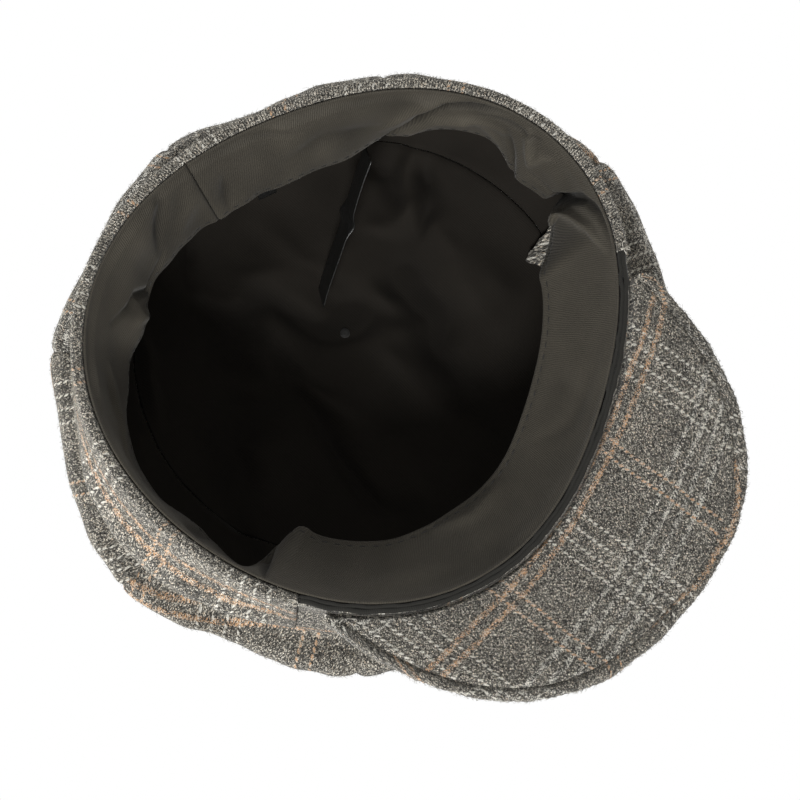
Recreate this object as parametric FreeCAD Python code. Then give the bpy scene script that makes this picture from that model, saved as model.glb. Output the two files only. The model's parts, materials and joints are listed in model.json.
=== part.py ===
import FreeCAD, Part
import math
import os

# Newsboy cap, right way up, in millimetres. The origin is the middle of the head opening in the
# plane of the rim, +Z points to the covered button on the crown, -Y to the visor and +X to the
# wearer's left. An azimuth is measured round the head in degrees: 0 is the middle of the visor
# and 90 the wearer's left. Every soft piece is a plain closed solid of its cloth's thickness.

Vector = FreeCAD.Vector

# Cloths and boards
tweed = 1.6
twill = 0.9
lining_cloth = 0.6
buckram = 0.8
elastic_tape = 1.2
visor_board_thickness = 1.8
layer_gap = 0.2

# Head opening, to the inner edge of the rim, as the soft rim lies: a circle with three waves
opening_radius = 90.5
opening_offset = 4.4
opening_offset_azimuth = 158
opening_oval = 3.1
opening_oval_azimuth = -86
opening_slack = 4.0
opening_slack_azimuth = 27

# Band round the head, with its lower edge turned up inside as a flat roll
band_height = 28
band_flare = 2.0
band_upright = 11
front_upright = 14
rim_turning = 8
rim_bevel = 1.1
buckram_trim = 1
side_seam_azimuth = 63

# Crown of eight panels, which slumps back and to the wearer's right
panel_count = 8
first_panel_seam = 5
panel_gap = 0.2
panel_flatness = 3.5
crown_overhang = 18.8
crown_oval = 2.5
crown_oval_azimuth = 110
crown_foot_gap = 0.6
crown_rise = 23.4
crown_dome = 43
crown_slump_right = 13
crown_slump_back = 27
crown_slump_power = 1.5
crown_hole_radius = 3.0

# Lining: a side strip round the crown and a round top piece, sewn a little inside the tweed
lining_slack = 0.6
lining_hem = 0.06
lining_seam = 0.70
lining_join_azimuth = 186
stitch_hole_radius = 1.1

# Sweatband: one strip sewn at the rim, whose free edge stands inwards
sweatband_width = 36
sweatband_join_azimuth = 182
sweatband_lift = 0.6
sweatband_curl = 1.3
front_lean = 24.5
front_half_angle = 74
front_ramp = 12
back_lean = 12
back_middle_azimuth = 185
back_half_angle = 45
back_ramp = 36
side_lean = 4

# Elastic inside the back of the sweatband, as shares of the sweatband's width
elastic_half_angle = 32
elastic_low = 0.42
elastic_high = 0.82
elastic_gap = 0.3

# Visor, its outline a rounded half oval in front of a chord across the head. Near its tips the
# turning and the taper are at most a share of its depth there.
visor_projection = 49
visor_setback = 50.5
visor_inset = 8.5
visor_roundness = 2.4
visor_tip_turn = 5.5
visor_arch = 6
visor_clearance = 0.9
visor_turning = 4.6
visor_turning_share = 0.45
visor_taper = 0.8
visor_taper_length = 3.0
visor_taper_share = 0.3
binding_width = 2.8
binding_height = 1.5
binding_bevel = 0.1

# Covered button
button_radius = 11.5
button_dome = 5.0
button_metal = 0.6
button_plate_radius = 8.5
button_shank_radius = 1.6
thread_radius = 0.7
thread_head_radius = 1.12
thread_head_height = 0.8
knot_radius = 1.8
knot_height = 1.0

# Care label, a satin loop that stands on edge, and a small size tab
label_azimuth = 226
label_width = 12
label_thickness = 0.4
label_gap = 0.8
label_inward = 40
label_sideways = -19
label_below_top = 11.8
label_twist = 90
label_twist_share = 0.5
tab_azimuth = 197
tab_width = 8
tab_low = 0.9
tab_high = 1.1

# Worked out from the sizes above
panel_angle = 360 / panel_count
crown_radius = opening_radius + crown_overhang
crown_foot = band_height + crown_foot_gap
crown_waist = crown_foot + crown_rise
crown_top = crown_waist + crown_dome
visor_half_width = opening_radius - visor_inset
visor_chord = opening_radius - visor_setback
visor_reach = visor_setback + visor_projection
turning_width = 2 * tweed + buckram + 2 * layer_gap
rim_outside = layer_gap + turning_width
front_outside = 2 * layer_gap + binding_width
visor_inside = front_outside + visor_clearance
visor_thickness = 2 * tweed + visor_board_thickness + 2 * layer_gap
band_outside = rim_outside + band_flare
lining_depth = tweed + lining_slack

# How finely the cloth surfaces are drawn
strip_steps = 24
round_steps = 72
panel_columns = 6
panel_rows = 14
disc_steps = 14
dome_steps = 6
halvings = 40
small_climb = 0.05
tiny = 1e-6


def ray(azimuth):
    """Level unit vector that points away from the origin at an azimuth."""
    turn = math.radians(azimuth)
    return Vector(math.sin(turn), -math.cos(turn), 0)


def tangent(azimuth):
    """Level unit vector round the head, towards rising azimuths."""
    turn = math.radians(azimuth)
    return Vector(math.cos(turn), math.sin(turn), 0)


def wave(azimuth, height, peak, count):
    return height * math.cos(math.radians(count * (azimuth - peak)))


def smooth(share):
    """Eases a share from 0 to 1, level at both ends."""
    share = min(1, max(0, share))
    return share * share * (3 - 2 * share)


def window(azimuth, middle, half_angle, ramp):
    """1 within half_angle of the middle, easing to 0 over the ramp."""
    away = abs((azimuth - middle + 180) % 360 - 180)
    return smooth((half_angle + ramp / 2 - away) / ramp)


def opening(azimuth):
    """Distance from the origin to the inner edge of the rim."""
    return (opening_radius
            + wave(azimuth, opening_offset, opening_offset_azimuth, 1)
            + wave(azimuth, opening_oval, opening_oval_azimuth, 2)
            + wave(azimuth, opening_slack, opening_slack_azimuth, 3))


def arch(across):
    """Height of the visor's underside at a distance across the head."""
    share = min(1, abs(across) / visor_half_width)
    return visor_arch * (1 + math.cos(math.pi * share)) / 2


def rim_height(azimuth):
    """Height of the rim: the visor lifts it at the front."""
    edge = ray(azimuth) * opening(azimuth)
    return arch(edge.x) if edge.y < 0 else 0


def rim_point(azimuth, outwards, height):
    return ray(azimuth) * (opening(azimuth) + outwards) + Vector(0, 0, height)


def sunk(face, azimuth, climb, depth):
    """Point of a surface face(azimuth, climb), moved by depth along its inward normal."""
    here = face(azimuth, climb)
    round_head = face(azimuth + 1, climb) - face(azimuth - 1, climb)
    upwards = face(azimuth, climb + small_climb) - face(azimuth, climb - small_climb)
    normal = round_head.cross(upwards)
    return here - normal.normalize() * depth


def solid_from(faces):
    shell = Part.makeShell(faces)
    shell.sewShape()
    solid = Part.makeSolid(shell)
    if solid.Volume < 0:
        solid.reverse()
    return solid


def curve_through(points):
    """Cubic curve through points at even parameters."""
    curve = Part.BSplineCurve()
    last = len(points) - 1
    curve.interpolate(Points=points, Parameters=[step / last for step in range(last + 1)])
    return curve


def surface_through(grid):
    """Cubic surface through a grid of points, first along its columns and then across them."""
    columns = [curve_through(column) for column in grid]
    poles = [column.getPoles() for column in columns]
    rows = [curve_through([column[row] for column in poles]) for row in range(len(poles[0]))]
    surface = Part.BSplineSurface()
    surface.buildFromPolesMultsKnots(
        [list(pole) for pole in zip(*[row.getPoles() for row in rows])],
        rows[0].getMultiplicities(), columns[0].getMultiplicities(),
        rows[0].getKnots(), columns[0].getKnots(),
        False, False, rows[0].Degree, columns[0].Degree)
    return surface


def ruled(first, second):
    """Face of straight lines between two curves with the same knots."""
    surface = Part.BSplineSurface()
    surface.buildFromPolesMultsKnots(
        [first.getPoles(), second.getPoles()], [2, 2], first.getMultiplicities(),
        [0, 1], first.getKnots(), False, False, 1, first.Degree)
    return surface.toShape()


def cloth(point, columns, rows):
    """Solid sheet between the surfaces point(across, climb, 0) and point(across, climb, 1)."""
    surfaces = []
    for side in (0, 1):
        grid = []
        for column in range(columns + 1):
            grid.append([point(column / columns, row / rows, side) for row in range(rows + 1)])
        surfaces.append(surface_through(grid))
    faces = [surface.toShape() for surface in surfaces]
    for value in (0, 1):
        faces.append(ruled(*[surface.uIso(value) for surface in surfaces]))
        faces.append(ruled(*[surface.vIso(value) for surface in surfaces]))
    return solid_from(faces)


def side_face(first, second):
    """Face between two edges of a sweep: a plane where both lie at one height."""
    heights = [pole.z for pole in first.getPoles() + second.getPoles()]
    if max(heights) - min(heights) > tiny:
        return ruled(first, second)
    start = Part.LineSegment(first.StartPoint, second.StartPoint)
    end = Part.LineSegment(first.EndPoint, second.EndPoint)
    return Part.Face(Part.Wire([curve.toShape() for curve in (first, end, second, start)]))


def swept(sections):
    """Solid swept through closed outlines, each a list of the same number of corners."""
    curves = [curve_through(list(corners)) for corners in zip(*sections)]
    faces = [side_face(curves[place - 1], curves[place]) for place in range(len(curves))]
    for corners in (sections[0], sections[-1]):
        faces.append(Part.Face(Part.makePolygon(corners + corners[:1])))
    return solid_from(faces)


def strip(section, start, end, steps):
    """Solid swept round the head through the closed outlines that section(azimuth) gives."""
    return swept([section(start + (end - start) * step / steps) for step in range(steps + 1)])


def gap_angle(gap, radius):
    """Half of a gap along a circle, as an angle."""
    return math.degrees(gap / 2 / radius)


# ---- band -------------------------------------------------------------------------------------

def flare(height, upright):
    """Share of the band's lean at a height above its upright lower part."""
    return max(0, (height - upright) / (band_height - upright))


def back_section(azimuth):
    """Band behind the visor: outer wall, flat roll at the rim and the tweed turned up inside."""
    wall = rim_outside
    outline = [
        (layer_gap, rim_bevel),
        (layer_gap + rim_bevel, 0),
        (wall - rim_bevel, 0),
        (wall, rim_bevel),
        (wall, band_upright),
        (band_outside, band_height),
        (band_outside - tweed, band_height),
        (wall - tweed, band_upright),
        (wall - tweed, tweed),
        (layer_gap + tweed, tweed),
        (layer_gap + tweed, rim_turning),
        (layer_gap, rim_turning),
    ]
    return [rim_point(azimuth, outwards, height) for outwards, height in outline]


def front_wall(azimuth, inner, outer, bottom, top):
    """Upright layer in front, between two depths behind the tweed's face, joining the flare."""
    outline = []
    low = bottom + rim_height(azimuth)
    for depth, heights in ((outer, (low, front_upright, top)), (inner, (top, front_upright, low))):
        for height in heights:
            lean = (band_outside - front_outside) * flare(height, front_upright)
            outline.append(rim_point(azimuth, front_outside + lean - depth, height))
    return outline


def front_section(azimuth):
    return front_wall(azimuth, tweed, 0, binding_height + layer_gap, band_height)


def front_buckram_section(azimuth):
    face = tweed + layer_gap
    return front_wall(azimuth, face + buckram, face, binding_height + layer_gap, band_height - buckram_trim)


def back_buckram_section(azimuth):
    outer = tweed + layer_gap
    outline = []
    top = band_height - buckram_trim
    for depth, heights in ((outer, (tweed + layer_gap, band_upright, top)),
                           (outer + buckram, (top, band_upright, tweed + layer_gap))):
        for height in heights:
            lean = band_flare * flare(height, band_upright)
            outline.append(rim_point(azimuth, rim_outside + lean - depth, height))
    return outline


def binding_section(azimuth):
    """Folded tape along the visor seam, two soft rolls side by side."""
    low = rim_height(azimuth)
    quarter = binding_width / 4
    outline = [
        (0, binding_height / 2),
        (quarter / 2, binding_bevel),
        (quarter, 0),
        (2 * quarter, binding_height / 4),
        (3 * quarter, 0),
        (3.5 * quarter, binding_bevel),
        (4 * quarter, binding_height / 2),
        (3.5 * quarter, binding_height),
        (quarter / 2, binding_height),
    ]
    return [rim_point(azimuth, layer_gap + outwards, low + height) for outwards, height in outline]


# ---- crown and lining -------------------------------------------------------------------------

# Outline of the crown from the band to the button. Each row gives how much of the band's shape
# and of the crown's round shape is left there, in percent, and the height.
crown_outline = [
    (100, 0, crown_foot),
    (54, 48, crown_foot + 0.28 * crown_rise),
    (12, 91, crown_foot + 0.66 * crown_rise),
    (0, 100, crown_waist),
    (0, 95, crown_waist + 0.40 * crown_dome),
    (0, 76, crown_waist + 0.74 * crown_dome),
    (0, 40, crown_waist + 0.95 * crown_dome),
    (0, 0, crown_top),
]
crown_curve = Part.BSplineCurve()
crown_curve.interpolate([Vector(*row) for row in crown_outline])


def slump(height):
    """How far the crown has shifted level at a height."""
    share = (height - crown_foot) / (crown_top - crown_foot)
    return Vector(-crown_slump_right, crown_slump_back, 0) * max(0, share) ** crown_slump_power


def crown_surface(azimuth, climb, hollow):
    """Point on the crown's outside, pressed in by hollow between the panel seams."""
    first, last = crown_curve.FirstParameter, crown_curve.LastParameter
    row = crown_curve.value(first + (last - first) * min(1, max(0, climb)))
    ring = crown_radius + wave(azimuth, crown_oval, crown_oval_azimuth, 2) - hollow
    radius = row.x / 100 * (opening(azimuth) + band_outside) + row.y / 100 * ring
    return ray(azimuth) * radius + slump(row.z) + Vector(0, 0, row.z)


def crown_face(azimuth, climb):
    within = (azimuth - first_panel_seam) / panel_angle
    return crown_surface(azimuth, climb, panel_flatness * math.sin(math.pi * within) ** 2)


def lining_face(azimuth, climb):
    return crown_surface(azimuth, climb, panel_flatness)


def crown_axis():
    """The middle of the crown's top, where the button is sewn."""
    return slump(crown_top) + Vector(0, 0, crown_top)


def climb_at(radius):
    """Climb at which the crown closes in to a radius round the button."""
    low, high = 0.5, 1.0
    for halving in range(halvings):
        middle = (low + high) / 2
        point = crown_face(first_panel_seam, middle)
        away = math.hypot(point.x - crown_axis().x, point.y - crown_axis().y)
        if away > radius:
            low = middle
        else:
            high = middle
    return low


def crown_panel(number):
    start = first_panel_seam + number * panel_angle
    top = climb_at(crown_hole_radius)

    def point(across, climb, side):
        edge = crown_face(start, climb * top)
        trim = gap_angle(panel_gap, (edge - slump(edge.z) - Vector(0, 0, edge.z)).Length)
        azimuth = start + trim + (panel_angle - 2 * trim) * across
        return sunk(crown_face, azimuth, climb * top, side * tweed)

    return cloth(point, panel_columns, panel_rows)


def lining_side():
    turn = gap_angle(layer_gap, crown_radius)
    start = lining_join_azimuth + turn

    def point(across, climb, side):
        azimuth = start + (360 - 2 * turn) * across
        height = lining_hem + (lining_seam - lining_hem) * climb
        return sunk(lining_face, azimuth, height, lining_depth + side * lining_cloth)

    return cloth(point, round_steps, panel_rows // 2)


def lining_top():
    """Round piece inside the crown, mapped from a square so that it has no point in its middle."""
    low = lining_seam + layer_gap / crown_radius

    def point(across, climb, side):
        depth = lining_depth + side * lining_cloth
        x, y = 2 * across - 1, 2 * climb - 1
        east = x * math.sqrt(1 - y * y / 2)
        north = y * math.sqrt(1 - x * x / 2)
        away = math.hypot(east, north)
        if away < tiny:
            return crown_axis() - Vector(0, 0, depth)
        azimuth = math.degrees(math.atan2(east, -north))
        return sunk(lining_face, azimuth, 1 - (1 - low) * away, depth)

    sheet = cloth(point, disc_steps, disc_steps)
    axis = crown_axis()
    hole = Part.makeCylinder(stitch_hole_radius, 4 * lining_depth, axis - Vector(0, 0, 3 * lining_depth))
    return sheet.cut(hole)


# ---- sweatband, elastic, label and tab --------------------------------------------------------

def sweatband_lean(azimuth):
    """How far the sweatband's free edge stands inwards from the rim."""
    front = (front_lean - side_lean) * window(azimuth, 0, front_half_angle, front_ramp)
    back = (back_lean - side_lean) * window(azimuth, back_middle_azimuth, back_half_angle, back_ramp)
    return side_lean + front + back


def sweatband_face(azimuth, climb):
    """Outer face of the sweatband, climb 0 at the rim and 1 at its free edge."""
    lean = sweatband_lean(azimuth)
    rise = math.sqrt(sweatband_width ** 2 - lean ** 2)
    inwards = lean * max(0, climb) ** sweatband_curl
    height = rim_height(azimuth) + sweatband_lift + rise * climb
    return ray(azimuth) * (opening(azimuth) - inwards) + Vector(0, 0, height)


def sweatband():
    turn = gap_angle(layer_gap, opening_radius)
    start = sweatband_join_azimuth + turn

    def point(across, climb, side):
        azimuth = start + (360 - 2 * turn) * across
        return sunk(sweatband_face, azimuth, climb, side * twill)

    return cloth(point, round_steps, 6)


def rear_elastic():
    def point(across, climb, side):
        azimuth = back_middle_azimuth + elastic_half_angle * (2 * across - 1)
        share = elastic_low + (elastic_high - elastic_low) * climb
        return sunk(sweatband_face, azimuth, share, -elastic_gap - (1 - side) * elastic_tape)

    return cloth(point, strip_steps // 2, 4)


def size_tab():
    half = math.degrees(tab_width / 2 / opening_radius)

    def point(across, climb, side):
        azimuth = tab_azimuth + half * (2 * across - 1)
        share = tab_low + (tab_high - tab_low) * climb
        return sunk(sweatband_face, azimuth, share, -layer_gap - (1 - side) * 2 * label_thickness)

    return cloth(point, 4, 4)


def label_frame():
    """Sewn end of the label, just past the sweatband's free edge, and the way it reaches."""
    edge = sunk(sweatband_face, label_azimuth, 1, twill / 2)
    below = sunk(sweatband_face, label_azimuth, 1 - small_climb, twill / 2)
    onwards = (edge - below).normalize()
    root = edge + onwards * (label_gap + label_thickness / 2)
    inwards = ray(label_azimuth) * -label_inward
    upwards = Vector(0, 0, crown_top - label_below_top - root.z)
    return root, inwards + tangent(label_azimuth) * label_sideways + upwards


def care_label():
    """Satin strip whose width lies along the sweatband at its sewn end and turns on edge."""
    root, reach = label_frame()
    length = reach.Length
    along = reach.normalize()
    flat = tangent(label_azimuth)
    flat = (flat - along * flat.dot(along)).normalize()
    upright = along.cross(flat)

    def point(across, climb, side):
        turn = math.radians(label_twist) * smooth(climb / label_twist_share)
        width = flat * math.cos(turn) + upright * math.sin(turn)
        face = along.cross(width)
        middle = root + along * (length * climb)
        return middle + width * (label_width * (across - 0.5)) + face * (label_thickness * (0.5 - side))

    return cloth(point, 4, 12)


# ---- visor ------------------------------------------------------------------------------------

def visor_edge(turn):
    """Point on the visor's outer edge, turn 0 at the wearer's left and 180 at the right."""
    power = 2 / visor_roundness
    side = math.cos(math.radians(turn))
    front = math.sin(math.radians(turn))
    across = visor_half_width * math.copysign(abs(side) ** power, side)
    return Vector(across, -visor_chord - visor_reach * front ** power, 0)


def visor_piece(outline):
    """Solid swept from tip to tip. outline(depth) gives the corners of a radial section as
    distances from the visor's inner edge and heights over its underside."""
    sections = []
    for step in range(strip_steps + 1):
        turn = visor_tip_turn + (180 - 2 * visor_tip_turn) * step / strip_steps
        edge = visor_edge(turn)
        azimuth = math.degrees(math.atan2(edge.x, -edge.y))
        start = opening(azimuth) + visor_inside
        corners = []
        for away, height in outline(edge.Length - start):
            corner = ray(azimuth) * (start + away)
            corners.append(corner + Vector(0, 0, arch(corner.x) + height))
        sections.append(corners)
    return swept(sections)


def visor_turned(depth):
    """Width of the upper cover turned under, less where the visor is too narrow for it."""
    return min(visor_turning, visor_turning_share * depth)


def visor_tapered(depth):
    return min(visor_taper_length, visor_taper_share * depth)


def upper_cover(depth):
    """Tweed over the board, round the edge and a little way under it."""
    taper = visor_tapered(depth)
    turned = depth - visor_turned(depth)
    wall = depth - tweed * min(1, visor_turned(depth) / visor_turning)
    top = visor_thickness
    bevel = top / 4
    return [
        (0, top - visor_taper),
        (taper, top),
        (depth - bevel, top),
        (depth, top - bevel),
        (depth, bevel),
        (depth - bevel, 0),
        (turned, 0),
        (turned, tweed),
        (wall, tweed),
        (wall, top - tweed),
        (taper, top - tweed),
        (0, top - visor_taper - tweed),
    ]


def lower_cover(depth):
    end = depth - visor_turned(depth) - layer_gap
    taper = visor_tapered(depth)
    return [(0, visor_taper), (taper, 0), (end, 0), (end, tweed), (taper, tweed), (0, visor_taper + tweed)]


def board(depth):
    end = depth - tweed * min(1, visor_turned(depth) / visor_turning) - layer_gap
    start = visor_tapered(depth)
    low = tweed + layer_gap
    return [(start, low), (end, low), (end, low + visor_board_thickness), (start, low + visor_board_thickness)]


# ---- button -----------------------------------------------------------------------------------

def turned_piece(outline):
    """Solid of revolution about the crown's axis from radii and heights over the crown's top."""
    corners = [crown_axis() + Vector(radius, 0, height) for radius, height in outline]
    face = Part.Face(Part.makePolygon(corners + corners[:1]))
    return face.revolve(crown_axis(), Vector(0, 0, 1), 360)


def dome(radius, bottom, height):
    """Points along a domed top from its edge to its middle."""
    points = []
    for step in range(dome_steps + 1):
        turn = math.radians(90 * step / dome_steps)
        points.append((radius * math.cos(turn), bottom + height * math.sin(turn)))
    points[-1] = (0, bottom + height)
    return points


def button_pieces():
    seat = layer_gap
    plate_top = seat + tweed + button_metal
    shell_radius = button_radius - tweed - layer_gap
    cover_top = dome(button_radius, seat + tweed, button_dome)
    cover_under = dome(button_radius - tweed, seat + tweed, button_dome - tweed)
    fold = button_plate_radius + layer_gap
    cover = [(fold, seat), (button_radius - tweed / 2, seat)] + cover_top + cover_under[::-1]
    cover += [(fold, seat + tweed)]
    shell_base = seat + tweed + layer_gap
    shell_top = dome(shell_radius, shell_base, button_dome - tweed - 2 * layer_gap)
    shell_inner = shell_radius - button_metal
    shell_under = dome(shell_inner, shell_base, button_dome - tweed - 2 * layer_gap - button_metal)
    shell = shell_top + shell_under[::-1]
    plate = [
        (thread_radius + layer_gap, seat),
        (button_shank_radius + button_metal, seat),
        (button_plate_radius, seat + tweed),
        (button_plate_radius, plate_top),
        (thread_radius + layer_gap, plate_top),
    ]
    knot_top = -lining_depth - lining_cloth - layer_gap
    head = plate_top + layer_gap
    thread = [
        (0, head + thread_head_height),
        (thread_head_radius, head + thread_head_height),
        (thread_head_radius, head),
        (thread_radius, head),
        (thread_radius, knot_top),
        (knot_radius, knot_top),
        (knot_radius, knot_top - knot_height / 2),
        (knot_radius / 2, knot_top - knot_height),
        (0, knot_top - knot_height),
    ]
    return {
        "button_cover": turned_piece(cover),
        "button_shell": turned_piece(shell),
        "button_back": turned_piece(plate),
        "button_thread": turned_piece(thread),
    }


# ---- the cap ----------------------------------------------------------------------------------

def build():
    pieces = {}
    for number in range(panel_count):
        pieces["crown_panel_%d" % (number + 1)] = crown_panel(number)
    seam = side_seam_azimuth + gap_angle(layer_gap, opening_radius)
    front = side_seam_azimuth - gap_angle(layer_gap, opening_radius)
    pieces["band_front"] = strip(front_section, -front, front, strip_steps)
    pieces["band_back"] = strip(back_section, seam, 360 - seam, strip_steps)
    pieces["front_buckram"] = strip(front_buckram_section, -front, front, strip_steps)
    pieces["back_buckram"] = strip(back_buckram_section, seam, 360 - seam, strip_steps)
    pieces["visor_binding"] = strip(binding_section, -front, front, strip_steps)
    pieces["lining_side"] = lining_side()
    pieces["lining_top"] = lining_top()
    pieces["sweatband"] = sweatband()
    pieces["rear_elastic"] = rear_elastic()
    pieces["size_tab"] = size_tab()
    pieces["care_label"] = care_label()
    pieces["visor_upper_cover"] = visor_piece(upper_cover)
    pieces["visor_lower_cover"] = visor_piece(lower_cover)
    pieces["visor_board"] = visor_piece(board)
    pieces.update(button_pieces())
    return pieces


def main():
    os.makedirs("parts", exist_ok=True)
    for node, shape in build().items():
        box = shape.BoundBox
        print("%-20s valid %s solids %d volume %9.1f  x %7.1f %7.1f  y %7.1f %7.1f  z %7.1f %7.1f" % (
            node, shape.isValid(), len(shape.Solids), shape.Volume,
            box.XMin, box.XMax, box.YMin, box.YMax, box.ZMin, box.ZMax))
        shape.exportStep(os.path.join("parts", node + ".step"))


main()
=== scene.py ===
import json
import math

import bpy
import numpy as np
from mathutils import Matrix, Vector


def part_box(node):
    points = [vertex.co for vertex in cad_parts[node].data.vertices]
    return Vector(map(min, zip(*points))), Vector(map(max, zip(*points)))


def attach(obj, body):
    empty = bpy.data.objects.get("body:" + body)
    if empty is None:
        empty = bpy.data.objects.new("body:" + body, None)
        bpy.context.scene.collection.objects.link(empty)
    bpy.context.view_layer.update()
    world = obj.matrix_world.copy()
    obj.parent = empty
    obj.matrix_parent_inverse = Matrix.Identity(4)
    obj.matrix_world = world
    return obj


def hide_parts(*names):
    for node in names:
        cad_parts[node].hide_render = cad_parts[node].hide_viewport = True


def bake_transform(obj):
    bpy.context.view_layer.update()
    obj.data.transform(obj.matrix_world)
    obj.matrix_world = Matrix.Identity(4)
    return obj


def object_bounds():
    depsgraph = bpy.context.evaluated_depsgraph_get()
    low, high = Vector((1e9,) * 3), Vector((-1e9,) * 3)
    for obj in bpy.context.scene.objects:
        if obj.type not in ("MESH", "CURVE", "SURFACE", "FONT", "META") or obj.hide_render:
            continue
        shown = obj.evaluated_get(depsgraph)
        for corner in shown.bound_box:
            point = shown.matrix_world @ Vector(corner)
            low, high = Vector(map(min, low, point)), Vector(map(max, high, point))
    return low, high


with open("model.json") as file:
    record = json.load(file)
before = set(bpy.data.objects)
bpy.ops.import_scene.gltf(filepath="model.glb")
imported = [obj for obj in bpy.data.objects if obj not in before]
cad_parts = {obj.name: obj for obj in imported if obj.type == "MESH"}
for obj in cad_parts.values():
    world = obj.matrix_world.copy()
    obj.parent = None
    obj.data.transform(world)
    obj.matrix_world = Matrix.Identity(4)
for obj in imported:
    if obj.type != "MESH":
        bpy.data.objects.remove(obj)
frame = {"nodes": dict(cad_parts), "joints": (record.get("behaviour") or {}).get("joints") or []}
cad_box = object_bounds()

bl_info = {
    "name": "Tweed newsboy cap",
    "version": (1, 0, 0),
    "blender": (4, 5, 0),
    "location": "View3D > Sidebar > Cap",
    "description": "Dresses a newsboy cap's solids in tweed, twill, satin and lining cloth",
    "category": "Object",
}

# Every length in this file is in metres, written as a number of millimetres times MM. The origin
# is the middle of the head opening, +Z points to the button and -Y to the visor. An azimuth is
# measured round the head: 0 is the middle of the visor and 90 degrees the wearer's left.
MM = 0.001

CAP = "cap_body"
VISOR = "visor"
LABEL = "label"


# ---- sizes and colours ------------------------------------------------------------------------

def length(name, description, size):
    return bpy.props.FloatProperty(
        name=name, description=description, default=size * MM, unit="LENGTH", subtype="DISTANCE",
        precision=5)


def angle(name, description, degrees):
    return bpy.props.FloatProperty(
        name=name, description=description, default=math.radians(degrees), unit="ROTATION", subtype="ANGLE")


def share(name, description, value):
    return bpy.props.FloatProperty(name=name, description=description, default=value)


def colour(name, description, red, green, blue):
    """Colour given as it is seen, from 0 to 255, and kept in linear values."""
    linear = []
    for part in (red, green, blue):
        seen = part / 255
        linear.append(seen / 12.92 if seen < 0.04045 else ((seen + 0.055) / 1.055) ** 2.4)
    return bpy.props.FloatVectorProperty(
        name=name, description=description, default=linear, size=3, subtype="COLOR", min=0, max=1)


class CapShape(bpy.types.PropertyGroup):
    tweed: length("Tweed", "Thickness of the outer cloth", 1.6)
    twill: length("Twill", "Thickness of the sweatband's cloth", 0.9)
    lining: length("Lining", "Thickness of the lining cloth", 0.6)
    gap: length("Layer gap", "Room between sewn layers", 0.2)
    opening: length("Head opening", "Mean radius of the rim's inner edge", 90.5)
    offset: length("Opening offset", "How far the opening leans to one side", 4.4)
    offset_azimuth: angle("Offset azimuth", "Where the opening leans to", 158)
    oval: length("Opening oval", "Half of the difference between its length and width", 3.1)
    oval_azimuth: angle("Oval azimuth", "Where the opening is longest", -86)
    slack: length("Opening slack", "Threefold softness of the opening", 4.0)
    slack_azimuth: angle("Slack azimuth", "Where the slack bulges", 27)
    band_height: length("Band height", "Height of the band", 28)
    band_flare: length("Band flare", "How far the band leans out at its top", 2.0)
    band_upright: length("Band upright", "Height up to which the band stands upright", 11)
    front_upright: length("Front upright", "The same in front, over the visor seam", 14)
    rim_width: length("Rim width", "Width of the roll at the rim", 4.6)
    rim_turning: length("Rim turning", "Height of the tweed turned up inside", 8)
    side_seam: angle("Side seam", "Azimuth of the band's side seams", 63)
    panels: bpy.props.IntProperty(name="Panels", description="Panels in the crown", default=8)
    first_seam: angle("First seam", "Azimuth of the first crown seam", 5)
    panel_flatness: length("Panel flatness", "How far a panel lies inside the round between its seams", 3.5)
    overhang: length("Crown overhang", "How far the crown stands out over the opening", 18.8)
    crown_oval: length("Crown oval", "Half of the difference between the crown's length and width", 2.5)
    crown_oval_azimuth: angle("Crown oval azimuth", "Where the crown is longest", 110)
    crown_foot_gap: length("Crown foot gap", "Room between the band and the crown", 0.6)
    crown_rise: length("Crown rise", "From the band up to the crown's widest ring", 23.4)
    crown_dome: length("Crown dome", "From the widest ring up to the button", 43)
    slump_right: length("Slump right", "How far the crown leans to the wearer's right", 13)
    slump_back: length("Slump back", "How far the crown leans back", 27)
    lining_slack: length("Lining slack", "Room between the tweed and the lining", 0.6)
    lining_hem: share("Lining hem", "Where the lining starts, as a share of the climb", 0.06)
    lining_seam: share("Lining seam", "Where its side strip meets its round top", 0.70)
    sweatband_width: length("Sweatband width", "Width of the sweatband", 36)
    sweatband_lift: length("Sweatband lift", "Height of its sewn edge over the rim", 0.6)
    sweatband_join: angle("Sweatband join", "Azimuth of its one seam", 182)
    front_lean: length("Front lean", "How far the sweatband leans in at the front", 24.5)
    back_lean: length("Back lean", "How far it leans in at the back", 12)
    side_lean: length("Side lean", "How far it leans in at the sides", 4)
    visor_projection: length("Visor projection", "Depth of the visor in front", 49)
    visor_setback: length("Visor setback", "From the rim's front back to the visor's chord", 50.5)
    visor_inset: length("Visor inset", "How much narrower the visor is than the opening on each side", 8.5)
    visor_arch: length("Visor arch", "How high the visor arches", 6)
    visor_thickness: length("Visor thickness", "Thickness over both covers and the board", 5.4)
    visor_start: length("Visor start", "From the rim's inner edge to the visor's inner edge", 4.1)
    visor_turning: length("Visor turning", "Width of the upper cover turned under", 4.6)
    binding_width: length("Binding width", "Width of the folded tape along the visor seam", 2.8)
    binding_height: length("Binding height", "Height of the folded tape", 1.5)
    button_radius: length("Button radius", "Radius of the covered button", 11.5)
    button_dome: length("Button dome", "Height of the button's dome", 5)
    stitch: length("Stitch", "Distance from one stitch to the next", 4.4)


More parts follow.
